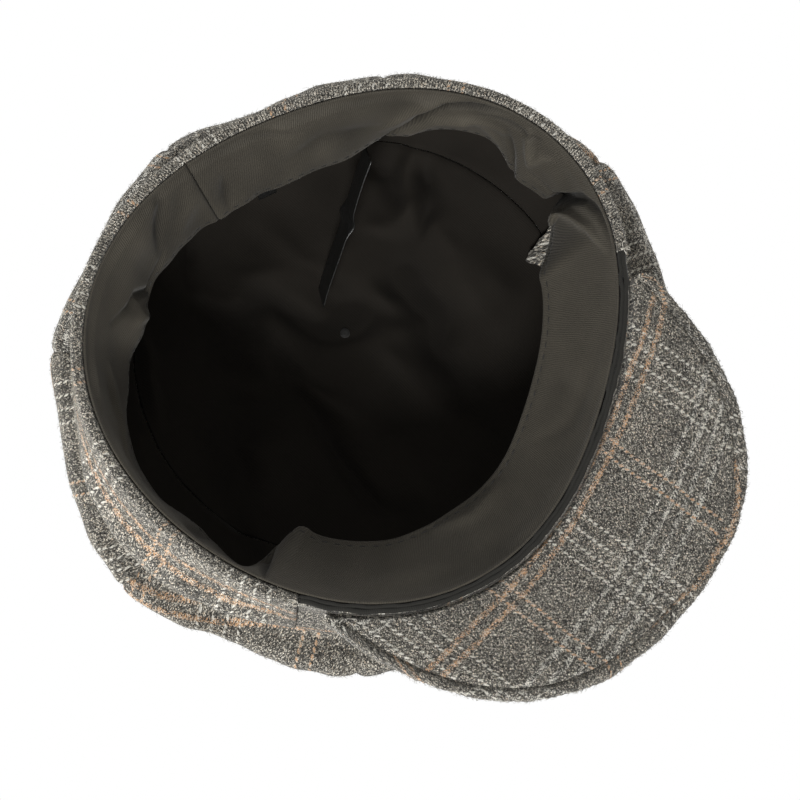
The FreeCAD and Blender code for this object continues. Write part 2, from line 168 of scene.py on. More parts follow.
class CapLooks(bpy.types.PropertyGroup):
    tweed_dark: colour("Tweed, dark", "Dark fibres of the ground", 33, 32, 30)
    tweed_middle: colour("Tweed, middle", "Middle fibres of the ground", 98, 96, 91)
    tweed_light: colour("Tweed, light", "Light fibres of the ground", 246, 239, 223)
    fuzz: colour("Fuzz", "Hairs that stand on the tweed", 168, 164, 152)
    check_tan: colour("Check, tan", "Tan threads of the check", 226, 180, 136)
    check_white: colour("Check, white", "White threads of the check", 248, 244, 232)
    check_repeat: length("Check repeat", "From one tan pair to the next", 62)
    check_gap: length("Check gap", "Between the threads of a group", 4.8)
    wale: length("Wale", "Distance between the tweed's diagonal ribs", 1.5)
    twill: colour("Twill", "Sweatband cloth", 66, 62, 54)
    lining: colour("Lining", "Lining cloth", 33, 30, 26)
    binding: colour("Binding", "Tape along the visor seam", 30, 29, 25)
    satin: colour("Satin", "Care label", 14, 14, 13)
    thread: colour("Thread", "Stitches", 26, 25, 23)
    pale_thread: colour("Pale thread", "Loose ends at the visor's tips", 205, 200, 188)


class CapStage(bpy.types.PropertyGroup):
    target_x: length("Target across", "Point that the camera looks at, across", 9.104)
    target_y: length("Target along", "Point that the camera looks at, along", -21.201)
    distance: length("Distance", "From the camera to that point", 900)
    tilt: angle("Tilt", "How far the camera stands off the axis of the opening", 14)
    heading: angle("Heading", "Direction in which the camera stands off, from the front", 132.4)
    lens: bpy.props.FloatProperty(name="Lens", description="Focal length in millimetres", default=119.8)
    floor: colour("Floor", "Colour of the floor", 236, 235, 232)
    floor_fade: length(
        "Floor fade", "Distance at which the floor starts to fade into the white around it", 450)
    floor_size: length("Floor size", "Side of the floor", 6000)
    ambient: share("Ambient", "Strength of the even light from all round", 0.26)
    lamp: share("Lamp", "Strength of a key lamp, in watts", 25.0)


def shape():
    return bpy.context.scene.cap_shape


def looks():
    return bpy.context.scene.cap_looks


# ---- the cap's form ---------------------------------------------------------------------------

def unit(vectors):
    return vectors / np.maximum(np.linalg.norm(vectors, axis=-1, keepdims=True), 1e-12)


def runs(points, axis=0):
    """Distance from a line's first point to each of its points, measured along the line."""
    steps = np.diff(points, axis=axis, prepend=np.take(points, [0], axis))
    return np.cumsum(np.linalg.norm(steps, axis=-1), axis=axis)


def crossed(rows, columns):
    """Two lists of numbers as grids: the first changes from row to row, the second within a row."""
    return np.meshgrid(rows, columns, indexing="ij")


def ray(azimuth):
    """Level unit vectors that point away from the origin."""
    azimuth = np.asarray(azimuth, float)
    return np.stack([np.sin(azimuth), -np.cos(azimuth), np.zeros_like(azimuth)], -1)


def level(height):
    """Vectors straight up of a given height."""
    height = np.asarray(height, float)
    return np.stack([np.zeros_like(height), np.zeros_like(height), height], -1)


def ease(value):
    value = np.clip(value, 0, 1)
    return value * value * (3 - 2 * value)


def bump(away, width):
    """1 at no distance, falling to 0 over about twice the width."""
    return np.exp(-(away / width) ** 2)


def apart(azimuth, middle):
    """Signed angle from the middle to an azimuth."""
    return (azimuth - middle + math.pi) % (2 * math.pi) - math.pi


def window(azimuth, middle, half, ramp):
    """1 within half of the middle, easing to 0 over the ramp, all in degrees."""
    away = np.abs(np.degrees(apart(azimuth, math.radians(middle))))
    return ease((half + ramp / 2 - away) / ramp)


def swell(azimuth, middle, width):
    """1 at the middle, falling to 0 over about twice the width, all in degrees."""
    return bump(np.degrees(apart(azimuth, math.radians(middle))), width)


def opening(azimuth):
    size = shape()
    return (size.opening
            + size.offset * np.cos(azimuth - size.offset_azimuth)
            + size.oval * np.cos(2 * (azimuth - size.oval_azimuth))
            + size.slack * np.cos(3 * (azimuth - size.slack_azimuth)))


def arch(across):
    """Height of the visor's underside at a distance across the head."""
    size = shape()
    part = np.clip(np.abs(across) / (size.opening - size.visor_inset), 0, 1)
    return size.visor_arch * (1 + np.cos(np.pi * part)) / 2


def rim_height(azimuth):
    edge = ray(azimuth) * opening(azimuth)[..., None]
    return np.where(edge[..., 1] < 0, arch(edge[..., 0]), 0)


def rim_place(azimuth, outwards, height):
    return ray(azimuth) * (opening(azimuth) + outwards)[..., None] + level(height)


def spline(knots, values, at):
    """Cubic curve through the values, whose ends follow a cubic through the four nearest."""
    count = len(knots)
    gaps = np.diff(knots)
    slopes = np.diff(values, axis=0) / gaps[:, None]
    matrix = np.eye(count)
    right = np.zeros_like(values)
    for place in range(1, count - 1):
        before, after = gaps[place - 1], gaps[place]
        matrix[place, place - 1:place + 2] = after, 2 * (before + after), before
        right[place] = 3 * (after * slopes[place - 1] + before * slopes[place])
    for place, near in ((0, slice(0, 4)), (-1, slice(-4, None))):
        for column in range(values.shape[1]):
            cubic = np.polyfit(knots[near], values[near, column], 3)
            right[place, column] = np.polyval(np.polyder(cubic), knots[place])
    tangents = np.linalg.solve(matrix, right)
    at = np.clip(at, 0, 1)
    left = np.clip(np.searchsorted(knots, at, side="right") - 1, 0, count - 2)
    gap = gaps[left][..., None]
    part = (at - knots[left])[..., None] / gap
    start, end = values[left], values[left + 1]
    rise, fall = tangents[left] * gap, tangents[left + 1] * gap
    return (start * (1 + 2 * part) * (1 - part) ** 2 + end * part ** 2 * (3 - 2 * part)
            + rise * part * (1 - part) ** 2 - fall * part ** 2 * (1 - part))


def crown_foot():
    return shape().band_height + shape().crown_foot_gap


def crown_top():
    return crown_foot() + shape().crown_rise + shape().crown_dome


def crown_row(climb):
    """How much of the band's shape and of the crown's round is left at a climb, and the height."""
    size = shape()
    foot = crown_foot() / MM
    rise = size.crown_rise / MM
    dome = size.crown_dome / MM
    waist = foot + rise
    rows = np.array([
        (100, 0, foot),
        (54, 48, foot + 0.28 * rise),
        (12, 91, foot + 0.66 * rise),
        (0, 100, waist),
        (0, 95, waist + 0.40 * dome),
        (0, 76, waist + 0.74 * dome),
        (0, 40, waist + 0.95 * dome),
        (0, 0, waist + dome),
    ])
    knots = runs(rows)
    return spline(knots / knots[-1], rows, climb) * (0.01, 0.01, MM)


def slump(height):
    size = shape()
    part = np.clip((height - crown_foot()) / (crown_top() - crown_foot()), 0, None)
    return np.array([-size.slump_right, size.slump_back, 0]) * part[..., None] ** 1.5


def crown_place(azimuth, climb, hollow):
    """Points of the crown's outside, pressed in by hollow between the panel seams."""
    size = shape()
    row = crown_row(climb)
    ring = size.opening + size.overhang - hollow
    ring = ring + size.crown_oval * np.cos(2 * (azimuth - size.crown_oval_azimuth))
    waist = crown_foot() + size.crown_rise
    low = np.clip((waist - row[..., 2]) / size.crown_rise, 0, 1)
    radius = row[..., 0] * (opening(azimuth) + size.rim_width + size.band_flare) + row[..., 1] * ring
    radius = radius + band_bulge(azimuth) * low ** 1.4
    return ray(azimuth) * radius[..., None] + slump(row[..., 2]) + level(row[..., 2])


# Azimuth in degrees where the crown sags over the band, at the wearer's left
SAG_AZIMUTH = 93


def sagging(azimuth):
    """1 where the crown sags over the band."""
    return window(azimuth, SAG_AZIMUTH, 26, 22)


def band_bulge(azimuth):
    """How far the soft band bulges out at its top over the left temple."""
    return 11.0 * MM * swell(azimuth, SAG_AZIMUTH, 24)


def band_lip(azimuth, height):
    """How far the band's upper edge bulges and dips into its seam where the crown sags over it."""
    top = shape().band_height
    lip = 3.0 * MM * bump(height - top + 7.5 * MM, 4.6 * MM) - 4.0 * MM * bump(height - top, 2.6 * MM)
    return lip * sagging(azimuth)


def crown_axis():
    return slump(np.array(crown_top())) + level(crown_top())


def sweatband_lean(azimuth):
    size = shape()
    front = (size.front_lean - size.side_lean) * window(azimuth, 0, 74, 12)
    back = (size.back_lean - size.side_lean) * window(azimuth, 185, 45, 36)
    return size.side_lean + front + back


def sweatband_place(azimuth, climb):
    """Outer face of the sweatband, climb 0 at the rim and 1 at its free edge."""
    size = shape()
    lean = sweatband_lean(azimuth)
    rise = np.sqrt(size.sweatband_width ** 2 - lean ** 2)
    inwards = lean * np.clip(climb, 0, None) ** 1.3
    height = rim_height(azimuth) + size.sweatband_lift + rise * climb
    return ray(azimuth) * (opening(azimuth) - inwards)[..., None] + level(height)


def visor_edge(turn):
    """The visor's outer edge, turn 0 at the wearer's left and pi at the right."""
    size = shape()
    power = 2 / 2.4
    side, front = np.cos(turn), np.sin(turn)
    across = (size.opening - size.visor_inset) * np.sign(side) * np.abs(side) ** power
    depth = size.visor_setback + size.visor_projection
    along = -(size.opening - size.visor_setback) - depth * front ** power
    return np.stack([across, along, np.zeros_like(across)], -1)


def fold(places, line, height, width):
    """Height of a soft fold along a line of points: it fades towards both ends of the line."""
    line = np.asarray(line, float)
    runs_before = runs(line)
    nearest = np.full(places.shape[:-1], np.inf)
    run = np.zeros(places.shape[:-1])
    for before, start, end in zip(runs_before, line[:-1], line[1:]):
        way = end - start
        part = np.clip(((places - start) @ way) / (way @ way), 0, 1)
        away = np.linalg.norm(places - start - part[..., None] * way, axis=-1)
        run = np.where(away < nearest, before + part * np.linalg.norm(way), run)
        nearest = np.minimum(nearest, away)
    fade = np.sin(math.pi * (0.1 + 0.8 * run / runs_before[-1])) ** 1.2
    return height * fade * bump(nearest, width * (0.55 + 0.45 * fade))


class Ripples:
    """Soft lumps of a given size, the same at the same place for every piece that has the seed."""

    def __init__(self, size, seed, waves=9):
        random = np.random.default_rng(seed)
        ways = unit(random.normal(size=(waves, 3)))
        lengths = size * random.uniform(0.7, 1.6, waves)
        self.ways = ways * (2 * math.pi / lengths)[:, None]
        self.starts = random.uniform(0, 2 * math.pi, waves)
        self.share = math.sqrt(2 / waves)

    def at(self, places):
        return np.sin(places @ self.ways.T + self.starts).sum(-1) * self.share


# ---- meshes -----------------------------------------------------------------------------------

# How far a sheet's raw edge bulges out, as a share of its thickness
EDGE_ROUNDNESS = 0.35

# Hairs that stand on the tweed of one crown panel, of the band's back and of one visor cover
PANEL_HAIRS = 2600
BAND_HAIRS = 7500
VISOR_HAIRS = 5200

# The visor's covers have no hairs this close to their seam with the band
VISOR_BARE = 3 * MM


def facing(grid, outwards):
    """Unit normals of a grid of points on the side of outwards, and whether they were turned round."""
    normal = unit(np.cross(np.gradient(grid, axis=0), np.gradient(grid, axis=1)))
    flip = bool((normal * outwards).sum() < 0)
    return -normal if flip else normal, flip


def normals(grid, outwards):
    return facing(grid, outwards)[0]


def flat_area(grid):
    """Area of each mesh of a grid of points."""
    across, along = np.diff(grid[:, :-1], axis=0), np.diff(grid[:-1], axis=1)
    return np.linalg.norm(np.cross(across, along), axis=-1)


def new_piece(name, points, faces, uvs=None):
    """Mesh object from points, faces and one flat cloth position for each point."""
    mesh = bpy.data.meshes.new(name)
    corners = [list(map(int, face)) for face in faces]
    mesh.from_pydata(np.asarray(points).reshape(-1, 3).tolist(), [], corners)
    if uvs is not None:
        layer = mesh.uv_layers.new(name="Cloth")
        source = np.zeros(len(mesh.loops), int)
        mesh.loops.foreach_get("vertex_index", source)
        layer.data.foreach_set("uv", np.asarray(uvs, float).reshape(-1, 2)[source].ravel())
    mesh.polygons.foreach_set("use_smooth", [True] * len(mesh.polygons))
    mesh.update()
    piece = bpy.data.objects.new(name, mesh)
    bpy.context.scene.collection.objects.link(piece)
    return piece


def joined(name, parts):
    """One object of many loose parts, such as hairs or stitches, each given by points and faces."""
    points, faces, start = [], [], 0
    for own, corners in parts:
        points.append(own)
        faces += [[start + corner for corner in face] for face in corners]
        start += len(own)
    return new_piece(name, np.concatenate(points), faces)


def grid_faces(columns, rows, start, flip):
    index = start + np.arange(columns * rows).reshape(columns, rows)
    quads = np.stack([index[:-1, :-1], index[1:, :-1], index[1:, 1:], index[:-1, 1:]], -1).reshape(-1, 4)
    return quads[:, ::-1] if flip else quads


def ring_faces(rings, sides):
    """Faces of a closed tube: the walls between its rings, then its two ends."""
    index = np.arange(rings * sides).reshape(rings, sides)
    after = np.roll(index, -1, 1)
    walls = np.stack([index[:-1], after[:-1], after[1:], index[1:]], -1).reshape(-1, 4)
    return [*walls.tolist(), index[0, ::-1].tolist(), index[-1].tolist()]


def cloth(name, grid, uvs, thickness, outwards, roll=None):
    """Closed sheet: grid is its face on the side of outwards, and its raw edges are rounded. Roll
    says where the weave is bent open, up to 1, or pressed into a crease, down to -1; on weaves
    other than the tweed it becomes painted shade in the creases and a painted highlight on the ridges."""
    columns, rows = grid.shape[:2]
    count = columns * rows
    normal, flip = facing(grid, outwards)
    front = grid.reshape(-1, 3)
    back = (grid - normal * thickness).reshape(-1, 3)

    index = np.arange(count).reshape(columns, rows)
    ring = np.concatenate([index[:-1, 0], index[-1, :-1], index[:0:-1, -1], index[0, :0:-1]])
    middle = (front + back)[ring] / 2
    away = unit(np.cross(np.roll(middle, -1, 0) - np.roll(middle, 1, 0), normal.reshape(-1, 3)[ring]))
    column, row = np.divmod(ring, rows)
    inside = grid[np.clip(column, 1, columns - 2), np.clip(row, 1, rows - 2)]
    away[((front[ring] - inside) * away).sum(-1) < 0] *= -1
    edge = middle + away * thickness * EDGE_ROUNDNESS

    low = 2 * count + np.arange(len(ring))
    high, after = np.roll(low, -1), np.roll(ring, -1)
    upper = np.stack([ring, after, high, low], -1)
    lower = np.stack([low, high, count + after, count + ring], -1)
    sides = np.stack([upper, lower], 1).reshape(-1, 4)
    faces = [grid_faces(columns, rows, 0, flip), grid_faces(columns, rows, count, not flip),
             sides if flip else sides[:, ::-1]]
    source = np.concatenate([index.ravel(), index.ravel(), ring])
    points = np.concatenate([front, back, edge])
    piece = new_piece(name, points, np.concatenate(faces), uvs.reshape(-1, 2)[source])
    # Roll is kept on the mesh for the material: it opens the tweed's ribs, and on the other weaves it is
    # painted shade and painted highlight
    if roll is not None:
        made = piece.data.attributes.new("Roll", "FLOAT", "POINT")
        made.data.foreach_set("value", roll.reshape(-1)[source])
    return piece


def tube(points, radius, sides=6):
    """Points and faces of a closed tube along a path, narrowing to its ends."""
    points = np.asarray(points, float)
    along = unit(np.gradient(points, axis=0))
    slanted = np.array([0.31, 0.17, 0.93])
    first = unit(np.cross(along, slanted))
    second = np.cross(along, first)
    turns = np.linspace(0, 2 * math.pi, sides, endpoint=False)
    taper = np.ones(len(points))
    taper[[0, -1]] = 0.45
    ring = first[:, None] * np.cos(turns)[:, None] + second[:, None] * np.sin(turns)[:, None]
    vertices = (points[:, None] + ring * (radius * taper)[:, None, None]).reshape(-1, 3)
    return vertices, ring_faces(len(points), sides)


def fibres(grid, normal, count, seed, part=None):
    """Points and faces of short bent hairs that stand on a grid, spread evenly over its area."""
    random = np.random.default_rng(seed)
    across, along = np.diff(grid[:, :-1], axis=0), np.diff(grid[:-1], axis=1)
    area = flat_area(grid)
    if part is not None:
        area = area * part[:-1, :-1]
    chosen = random.choice(area.size, count, p=(area / area.sum()).ravel())
    column, row = np.divmod(chosen, area.shape[1])
    slide, climb = random.uniform(0, 1, (2, count, 1))
    root = grid[column, row] + across[column, row] * slide + along[column, row] * climb
    up = normal[column, row]
    lying = unit(np.cross(up, random.normal(size=(count, 3))))
    side = np.cross(up, lying)
    reach = random.uniform(0.6, 1.5, (count, 1)) * MM
    rise = random.uniform(0.15, 0.6, (count, 1))
    bend = random.normal(0, 0.35, (count, 1))
    middle = root + (lying * 0.5 + up * rise + side * bend * 0.5) * reach
    tip = root + (lying + up * rise * random.uniform(0.2, 1.7, (count, 1)) + side * bend * 1.6) * reach
    thin = random.uniform(0.05, 0.085, (count, 1)) * MM
    rings = []
    for place, width in ((root - up * 0.15 * MM, thin), (middle, thin * 0.85), (tip, thin * 0.3)):
        for turn in (0, 2 * math.pi / 3, 4 * math.pi / 3):
            rings.append(place + (side * math.cos(turn) + up * math.sin(turn)) * width)
    start = np.arange(count)[:, None] * len(rings)
    faces = [corners for face in ring_faces(3, 3) for corners in (start + face).tolist()]
    return np.stack(rings, 1).reshape(-1, 3), faces


def stitch_row(line, out, spacing, part, sink, rise):
    """Paths of running stitches along a line of points, each a low hoop over the cloth."""
    run = runs(line)
    paths = []
    for start in np.arange(spacing / 2, run[-1] - spacing, spacing):
        at = start + np.linspace(0, part * spacing, 5)
        place, lift = [
            np.stack([np.interp(at, run, each[:, axis]) for axis in range(3)], -1) for each in (line, out)]
        hoop = np.sin(np.linspace(0, math.pi, 5)) * (rise + sink) - sink
        paths.append(place + unit(lift) * hoop[:, None])
    return paths


def finish(piece, material, body, slot, *nodes):
    """Gives a piece its material, its body and the solids that it stands for. The slot is not used."""
    piece.data.materials.clear()
    piece.data.materials.append(bpy.data.materials[material])
    if nodes:
        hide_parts(*nodes)
    if body == VISOR:
        visor_bend(piece)
    else:
        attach(piece, body)
    return piece


def visor_bend(piece):
    """Applies the piece's transform to its mesh, which then stays where it is, on no body."""
    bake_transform(piece)


# ---- materials --------------------------------------------------------------------------------

class Field:
    """A node's output that can be reckoned with: every sum or product adds its own node."""

    def __init__(self, wires, socket):
        self.wires = wires
        self.socket = socket

    def __add__(self, other):
        return self.wires.math("ADD", self, other)

    def __radd__(self, other):
        return self.wires.math("ADD", other, self)

    def __sub__(self, other):
        return self.wires.math("SUBTRACT", self, other)

    def __rsub__(self, other):
        return self.wires.math("SUBTRACT", other, self)

    def __mul__(self, other):
        return self.wires.math("MULTIPLY", self, other)

    def __truediv__(self, other):
        return self.wires.math("DIVIDE", self, other)

    def __mod__(self, other):
        return self.wires.math("FLOORED_MODULO", self, other)

    def __abs__(self):
        return self.wires.math("ABSOLUTE", self)

    def times(self, factor, more):
        """The value times a factor, and something more added."""
        return self.wires.math("MULTIPLY_ADD", self, factor, more)


class Node:
    """A node whose outputs are taken by name or number."""

    def __init__(self, wires, node):
        self.wires = wires
        self.inputs = node.inputs
        self.outputs = node.outputs

    def __getitem__(self, key):
        return Field(self.wires, self.outputs[key])


class Wires:
    """Adds nodes to a tree and joins them as it goes."""

    def __init__(self, tree):
        self.tree = tree

    def put(self, socket, value):
        if isinstance(value, Field):
            self.tree.links.new(value.socket, socket)
        else:
            socket.default_value = value

    def add(self, kind, values=(), **settings):
        node = self.tree.nodes.new(kind)
        for key, value in settings.items():
            setattr(node, key, value)
        for key, value in dict(values).items():
            self.put(node.inputs[key], value)
        return Node(self, node)

    def math(self, operation, *values, clamp=False):
        return self.add("ShaderNodeMath", enumerate(values), operation=operation, use_clamp=clamp)[0]

    def vector(self, operation, *values, **named):
        values = {**dict(enumerate(values)), **named}
        return self.add("ShaderNodeVectorMath", values, operation=operation)[0]

    def step(self, value, low, high, start=0.0, end=1.0):
        """Eases from start to end as the value goes from low to high."""
        values = {"Value": value, "From Min": low, "From Max": high, "To Min": start, "To Max": end}
        return self.add("ShaderNodeMapRange", values, interpolation_type="SMOOTHSTEP")[0]

    def wave(self, phase):
        """Goes up and down between 0 and 1, once for each whole number of the phase."""
        return self.math("SINE", phase * (2 * math.pi)).times(0.5, 0.5)

    def mix(self, factor, one, two, blend="MIX"):
        return self.add("ShaderNodeMix", {0: factor, 6: one, 7: two}, data_type="RGBA", blend_type=blend)[2]

    def noise(self, vector, scale, detail=2.0, rough=0.5, distortion=0.0):
        return self.add("ShaderNodeTexNoise", {
            "Vector": vector, "Scale": scale, "Detail": detail, "Roughness": rough,
            "Distortion": distortion})[0]

    def place(self, vector, scale, turn=0.0):
        return self.add("ShaderNodeMapping", {
            "Vector": vector, "Scale": scale, "Rotation": (0, 0, turn)})[0]

    def toned(self, tint, value):
        """A colour made lighter or darker."""
        return self.add("ShaderNodeHueSaturation", {"Color": tint, "Value": value})[0]

    def relief(self, strength, distance, height):
        return self.add("ShaderNodeBump", {"Strength": strength, "Distance": distance, "Height": height})[0]


def new_group(name, inputs, outputs):
    """Node group with named sockets. An input is given by its first value or by its kind."""
    tree = bpy.data.node_groups.new(name, "ShaderNodeTree")
    for socket, value in inputs.items():
        kind = value if isinstance(value, str) else "Float"
        made = tree.interface.new_socket(name=socket, in_out="INPUT", socket_type="NodeSocket" + kind)
        if kind == "Float":
            made.default_value = value
    for socket in outputs:
        kind = "Color" if socket == "Color" else "Float"
        tree.interface.new_socket(name=socket, in_out="OUTPUT", socket_type="NodeSocket" + kind)
    wires = Wires(tree)
    return tree, wires, wires.add("NodeGroupInput")


def rgba(value):
    return tuple(value) + (1.0,)


def check_group():
    """Threads of one direction of the check: a tan pair and a group of four white ones. Across is
    the distance over them, Pattern the weave's dashes or flecks and Cut the share that they hide."""
    tree, wires, given = new_group(
        "Check threads",
        {"Across": 0.0, "Pattern": 0.5, "Cut": 0.5, "Repeat": 62.0, "Gap": 4.8, "Width": 0.5},
        ("Tan", "White"))
    repeat, gap, width = given["Repeat"], given["Gap"], given["Width"]
    half = repeat * 0.5
    threads = {}
    for name, shift, reach, rare in (("Tan", 0.0, 1.0, 0.0), ("White", 0.5, 2.0, 0.06)):
        moved = given["Across"] + repeat * (0.5 - shift)
        away = abs(moved % repeat - half)
        to_thread = abs(away % gap - gap * 0.5)
        edge = gap * reach
        held = wires.step(to_thread, width, width * 0.3) * wires.step(away, edge, edge * 0.97)
        low = given["Cut"] + (1.0 - held).times(0.4, rare)
        shown = wires.step(given["Pattern"], low, low + 0.1)
        threads[name] = wires.math("MULTIPLY", shown, held, clamp=True)
    wires.add("NodeGroupOutput", threads)
    return tree


def fleck_group():
    """Tangled flecks of melange yarn: a random tone for each small, ragged fleck."""
    tree, wires, given = new_group(
        "Flecks", {"Cloth": "Vector", "Long": 0.8, "Fine": 2.0, "Slant": 0.5, "Ragged": 0.8},
        ("Tone", "Hue", "Height"))
    ragged = wires.add("ShaderNodeTexNoise", {
        "Vector": given["Cloth"], "Scale": 1.4, "Detail": 3.0, "Roughness": 0.7})[1]
    centred = wires.vector("SUBTRACT", ragged, (0.5, 0.5, 0.5))
    moved = wires.vector("ADD", given["Cloth"], wires.vector("SCALE", centred, Scale=given["Ragged"]))
    turned = wires.add("ShaderNodeVectorRotate", {"Vector": moved, "Angle": given["Slant"]},
                       rotation_type="Z_AXIS")[0]
    pitch = wires.add("ShaderNodeCombineXYZ", {0: given["Fine"], 1: given["Long"], 2: 1.0})[0]
    placed = wires.vector("MULTIPLY", turned, pitch)
    cells = wires.add("ShaderNodeTexVoronoi", {"Vector": placed, "Scale": 1.0})
    parts = wires.add("ShaderNodeSeparateColor", {0: cells["Color"]})
    strand = wires.noise(wires.vector("MULTIPLY", placed, (3.1, 0.9, 1.0)), 1.0, 2.0, 0.6)
    height = wires.step(cells["Distance"], 0.75, 0.0) * 0.6 + strand * 0.5
    wires.add("NodeGroupOutput", {"Tone": parts[0], "Hue": parts[1], "Height": height})
    return tree


def tweed_group(check, fleck):
    """Heathered twill tweed with its windowpane check, on flat cloth positions in millimetres."""
    tree, wires, given = new_group(
        "Tweed",
        {"Cloth": "Vector", "Dark": "Color", "Middle": "Color", "Light": "Color", "Tan": "Color",
         "White": "Color", "Repeat": 62.0, "Gap": 4.8, "Wale": 1.5, "Ribs": 0.0},
        ("Color", "Height"))
    flat, ribs = given["Cloth"], given["Ribs"]
    split = wires.add("ShaderNodeSeparateXYZ", {"Vector": flat})
    drift = (wires.noise(flat, 0.03, 1.0) - 0.5) * 3.0
    across = split[0] + drift
    along = split[1] - drift
    coarse, fine = [
        wires.add("ShaderNodeGroup", {
            "Cloth": flat, "Long": long, "Fine": thin, "Slant": slant, "Ragged": ragged}, node_tree=fleck)
        for long, thin, slant, ragged in ((2.3, 3.3, 0.55, 0.6), (2.6, 4.2, -0.5, 0.5))]
    hair = wires.noise(wires.place(flat, (5.0, 1.6, 1.0), 0.8), 1.0, 3.0, 0.7, 0.6)
    patch = wires.noise(flat, 0.07, 2.0)
    wobble = wires.noise(flat, 0.8, 1.0) * 1.5
    wale = wires.wave((split[0] + split[1] * 0.8 + wobble) / given["Wale"])
    rib = wires.wave((split[0] + wobble * 0.35) / 0.95)
    opened = rib * ribs

    # the ground: dark, middle and light fibres by their tone, some of them warmer
    tone = coarse["Tone"] * 0.62
    for part, weight in ((fine["Tone"], 0.42), (hair, 0.30), (wale, 0.07), (patch, 0.26), (opened, 0.26)):
        tone = part.times(weight, tone)
    tone = ribs.times(-0.10, tone)
    ground = wires.mix(wires.step(tone, 0.42, 0.80), given["Dark"], given["Middle"])
    ground = wires.mix(wires.step(tone, 0.88, 1.22), ground, given["Light"])
    warm = wires.mix(1.0, ground, (1.0, 0.80, 0.62, 1.0), "MULTIPLY")
    ground = wires.mix(wires.step(fine["Hue"], 0.80, 0.90, 0.0, 0.5), ground, warm)

    # the check: dashed threads across and flecked ones along, partly covered by the ground's fibres
    dash = wires.math("SINE", (along + across * 0.9) * 2.7).times(0.32, 0.20)
    dash = dash + fine["Tone"] * 0.25 + wires.noise(flat, 0.3, 1.0) * 0.60
    flecks = coarse["Tone"] * 0.35 + fine["Tone"] * 0.25 + wires.noise(flat, 0.35, 1.0) * 0.60
    dashed, flecked = [
        wires.add("ShaderNodeGroup", {
            "Across": way, "Pattern": pattern, "Cut": cut, "Repeat": given["Repeat"], "Gap": given["Gap"],
            "Width": width}, node_tree=check)
        for way, pattern, cut, width in ((across, dash, 0.47, 0.75), (along, flecks, 0.52, 1.9))]
    tan = wires.math("MAXIMUM", dashed["Tan"], flecked["Tan"])
    white = wires.math("MAXIMUM", dashed["White"], flecked["White"])
    cover = wires.step(fine["Tone"], 0.0, 0.4, 0.60, 1.0)
    cream = wires.mix(wires.step(fine["Hue"], 0.45, 0.75, 0.0, 0.75), given["Tan"], given["White"])
    seen = wires.mix(white * cover, ground, given["White"])
    seen = wires.mix(tan * cover, seen, cream)

    shade = wires.step(coarse["Height"] + hair, 0.5, 1.3, 0.66, 1.16)
    height = wale.times(0.25, coarse["Height"] + hair * 0.6)
    height = wires.math("MAXIMUM", tan, white).times(0.3, height)
    wires.add("NodeGroupOutput", {"Color": wires.toned(seen, shade), "Height": opened.times(0.5, height)})
    return tree


def twill_group():
    """Fine ribbed twill or plain weave: a diagonal rib crossed by its threads."""
    tree, wires, given = new_group(
        "Ribbed weave",
        {"Cloth": "Vector", "Color": "Color", "Pitch": 0.6, "Slant": 1.0, "Contrast": 0.3, "Patches": 0.2},
        ("Color", "Height"))
    flat = given["Cloth"]
    split = wires.add("ShaderNodeSeparateXYZ", {"Vector": flat})
    wobble = wires.noise(flat, 0.5, 2.0) * 0.7
    rib = wires.wave((split[0] + split[1] * given["Slant"] + wobble) / given["Pitch"])
    thread = wires.noise(wires.place(flat, (4.0, 1.2, 1.0), 0.3), 1.0, 2.0, 0.6)
    tone = (rib * 0.5 + thread - 0.75) * given["Contrast"]
    patch = (wires.noise(flat, 0.05, 3.0) - 0.5) * given["Patches"]
    seen = wires.toned(given["Color"], 1.0 + (tone + patch))
    wires.add("NodeGroupOutput", {"Color": seen, "Height": rib * 0.7 + thread})
    return tree


def new_material(name, values):
    """Material with a Principled shader that has the given constants, and the shader's sockets."""
    made = bpy.data.materials.new(name)
    made.use_nodes = True
    made.node_tree.nodes.clear()
    wires = Wires(made.node_tree)
    shader = wires.add("ShaderNodeBsdfPrincipled", values)
    wires.add("ShaderNodeOutputMaterial", {"Surface": shader[0]})
    return wires, shader.inputs


def cloth_material(name, group, inputs, strength, depth, values):
    """Cloth on its flat positions, in millimetres. Its Roll values open the tweed's ribs where it
    is bent, and on the other weaves they paint shade into the creases and a highlight onto the ridges."""
    wires, sockets = new_material(name, values)
    flat = wires.place(wires.add("ShaderNodeUVMap", uv_map="Cloth")[0], (1 / MM, 1 / MM, 1.0))
    roll = wires.add("ShaderNodeAttribute", attribute_name="Roll")["Fac"]
    ribbed = "Ribs" in group.interface.items_tree.keys()
    inputs = {"Cloth": flat, **inputs, **({"Ribs": roll} if ribbed else {})}
    node = wires.add("ShaderNodeGroup", inputs, node_tree=group)
    # painted shade and highlight: on weaves other than the tweed, the colour is darkened where Roll is
    # below 0, in the creases, and lightened where it is above 0, on the ridges
    seen = node["Color"] if ribbed else wires.toned(node["Color"], roll.times(0.7, 1.0))
    wires.put(sockets["Base Color"], seen)
    wires.put(sockets["Normal"], wires.relief(strength, depth * MM, node["Height"]))


def grain_material(name, tint, grain, tones, strength, values):
    """Finish on the object's own positions. The grain is a noise's scale, detail and roughness, and
    the tones are its low and high value and how dark and light they are."""
    wires, sockets = new_material(name, values)
    place = wires.add("ShaderNodeTexCoord")["Object"]
    noise = wires.noise(place, *grain)
    wires.put(sockets["Base Color"], wires.toned(rgba(tint), wires.step(noise, *tones)))
    if strength:
        wires.put(sockets["Normal"], wires.relief(strength, 0.1 * MM, noise))


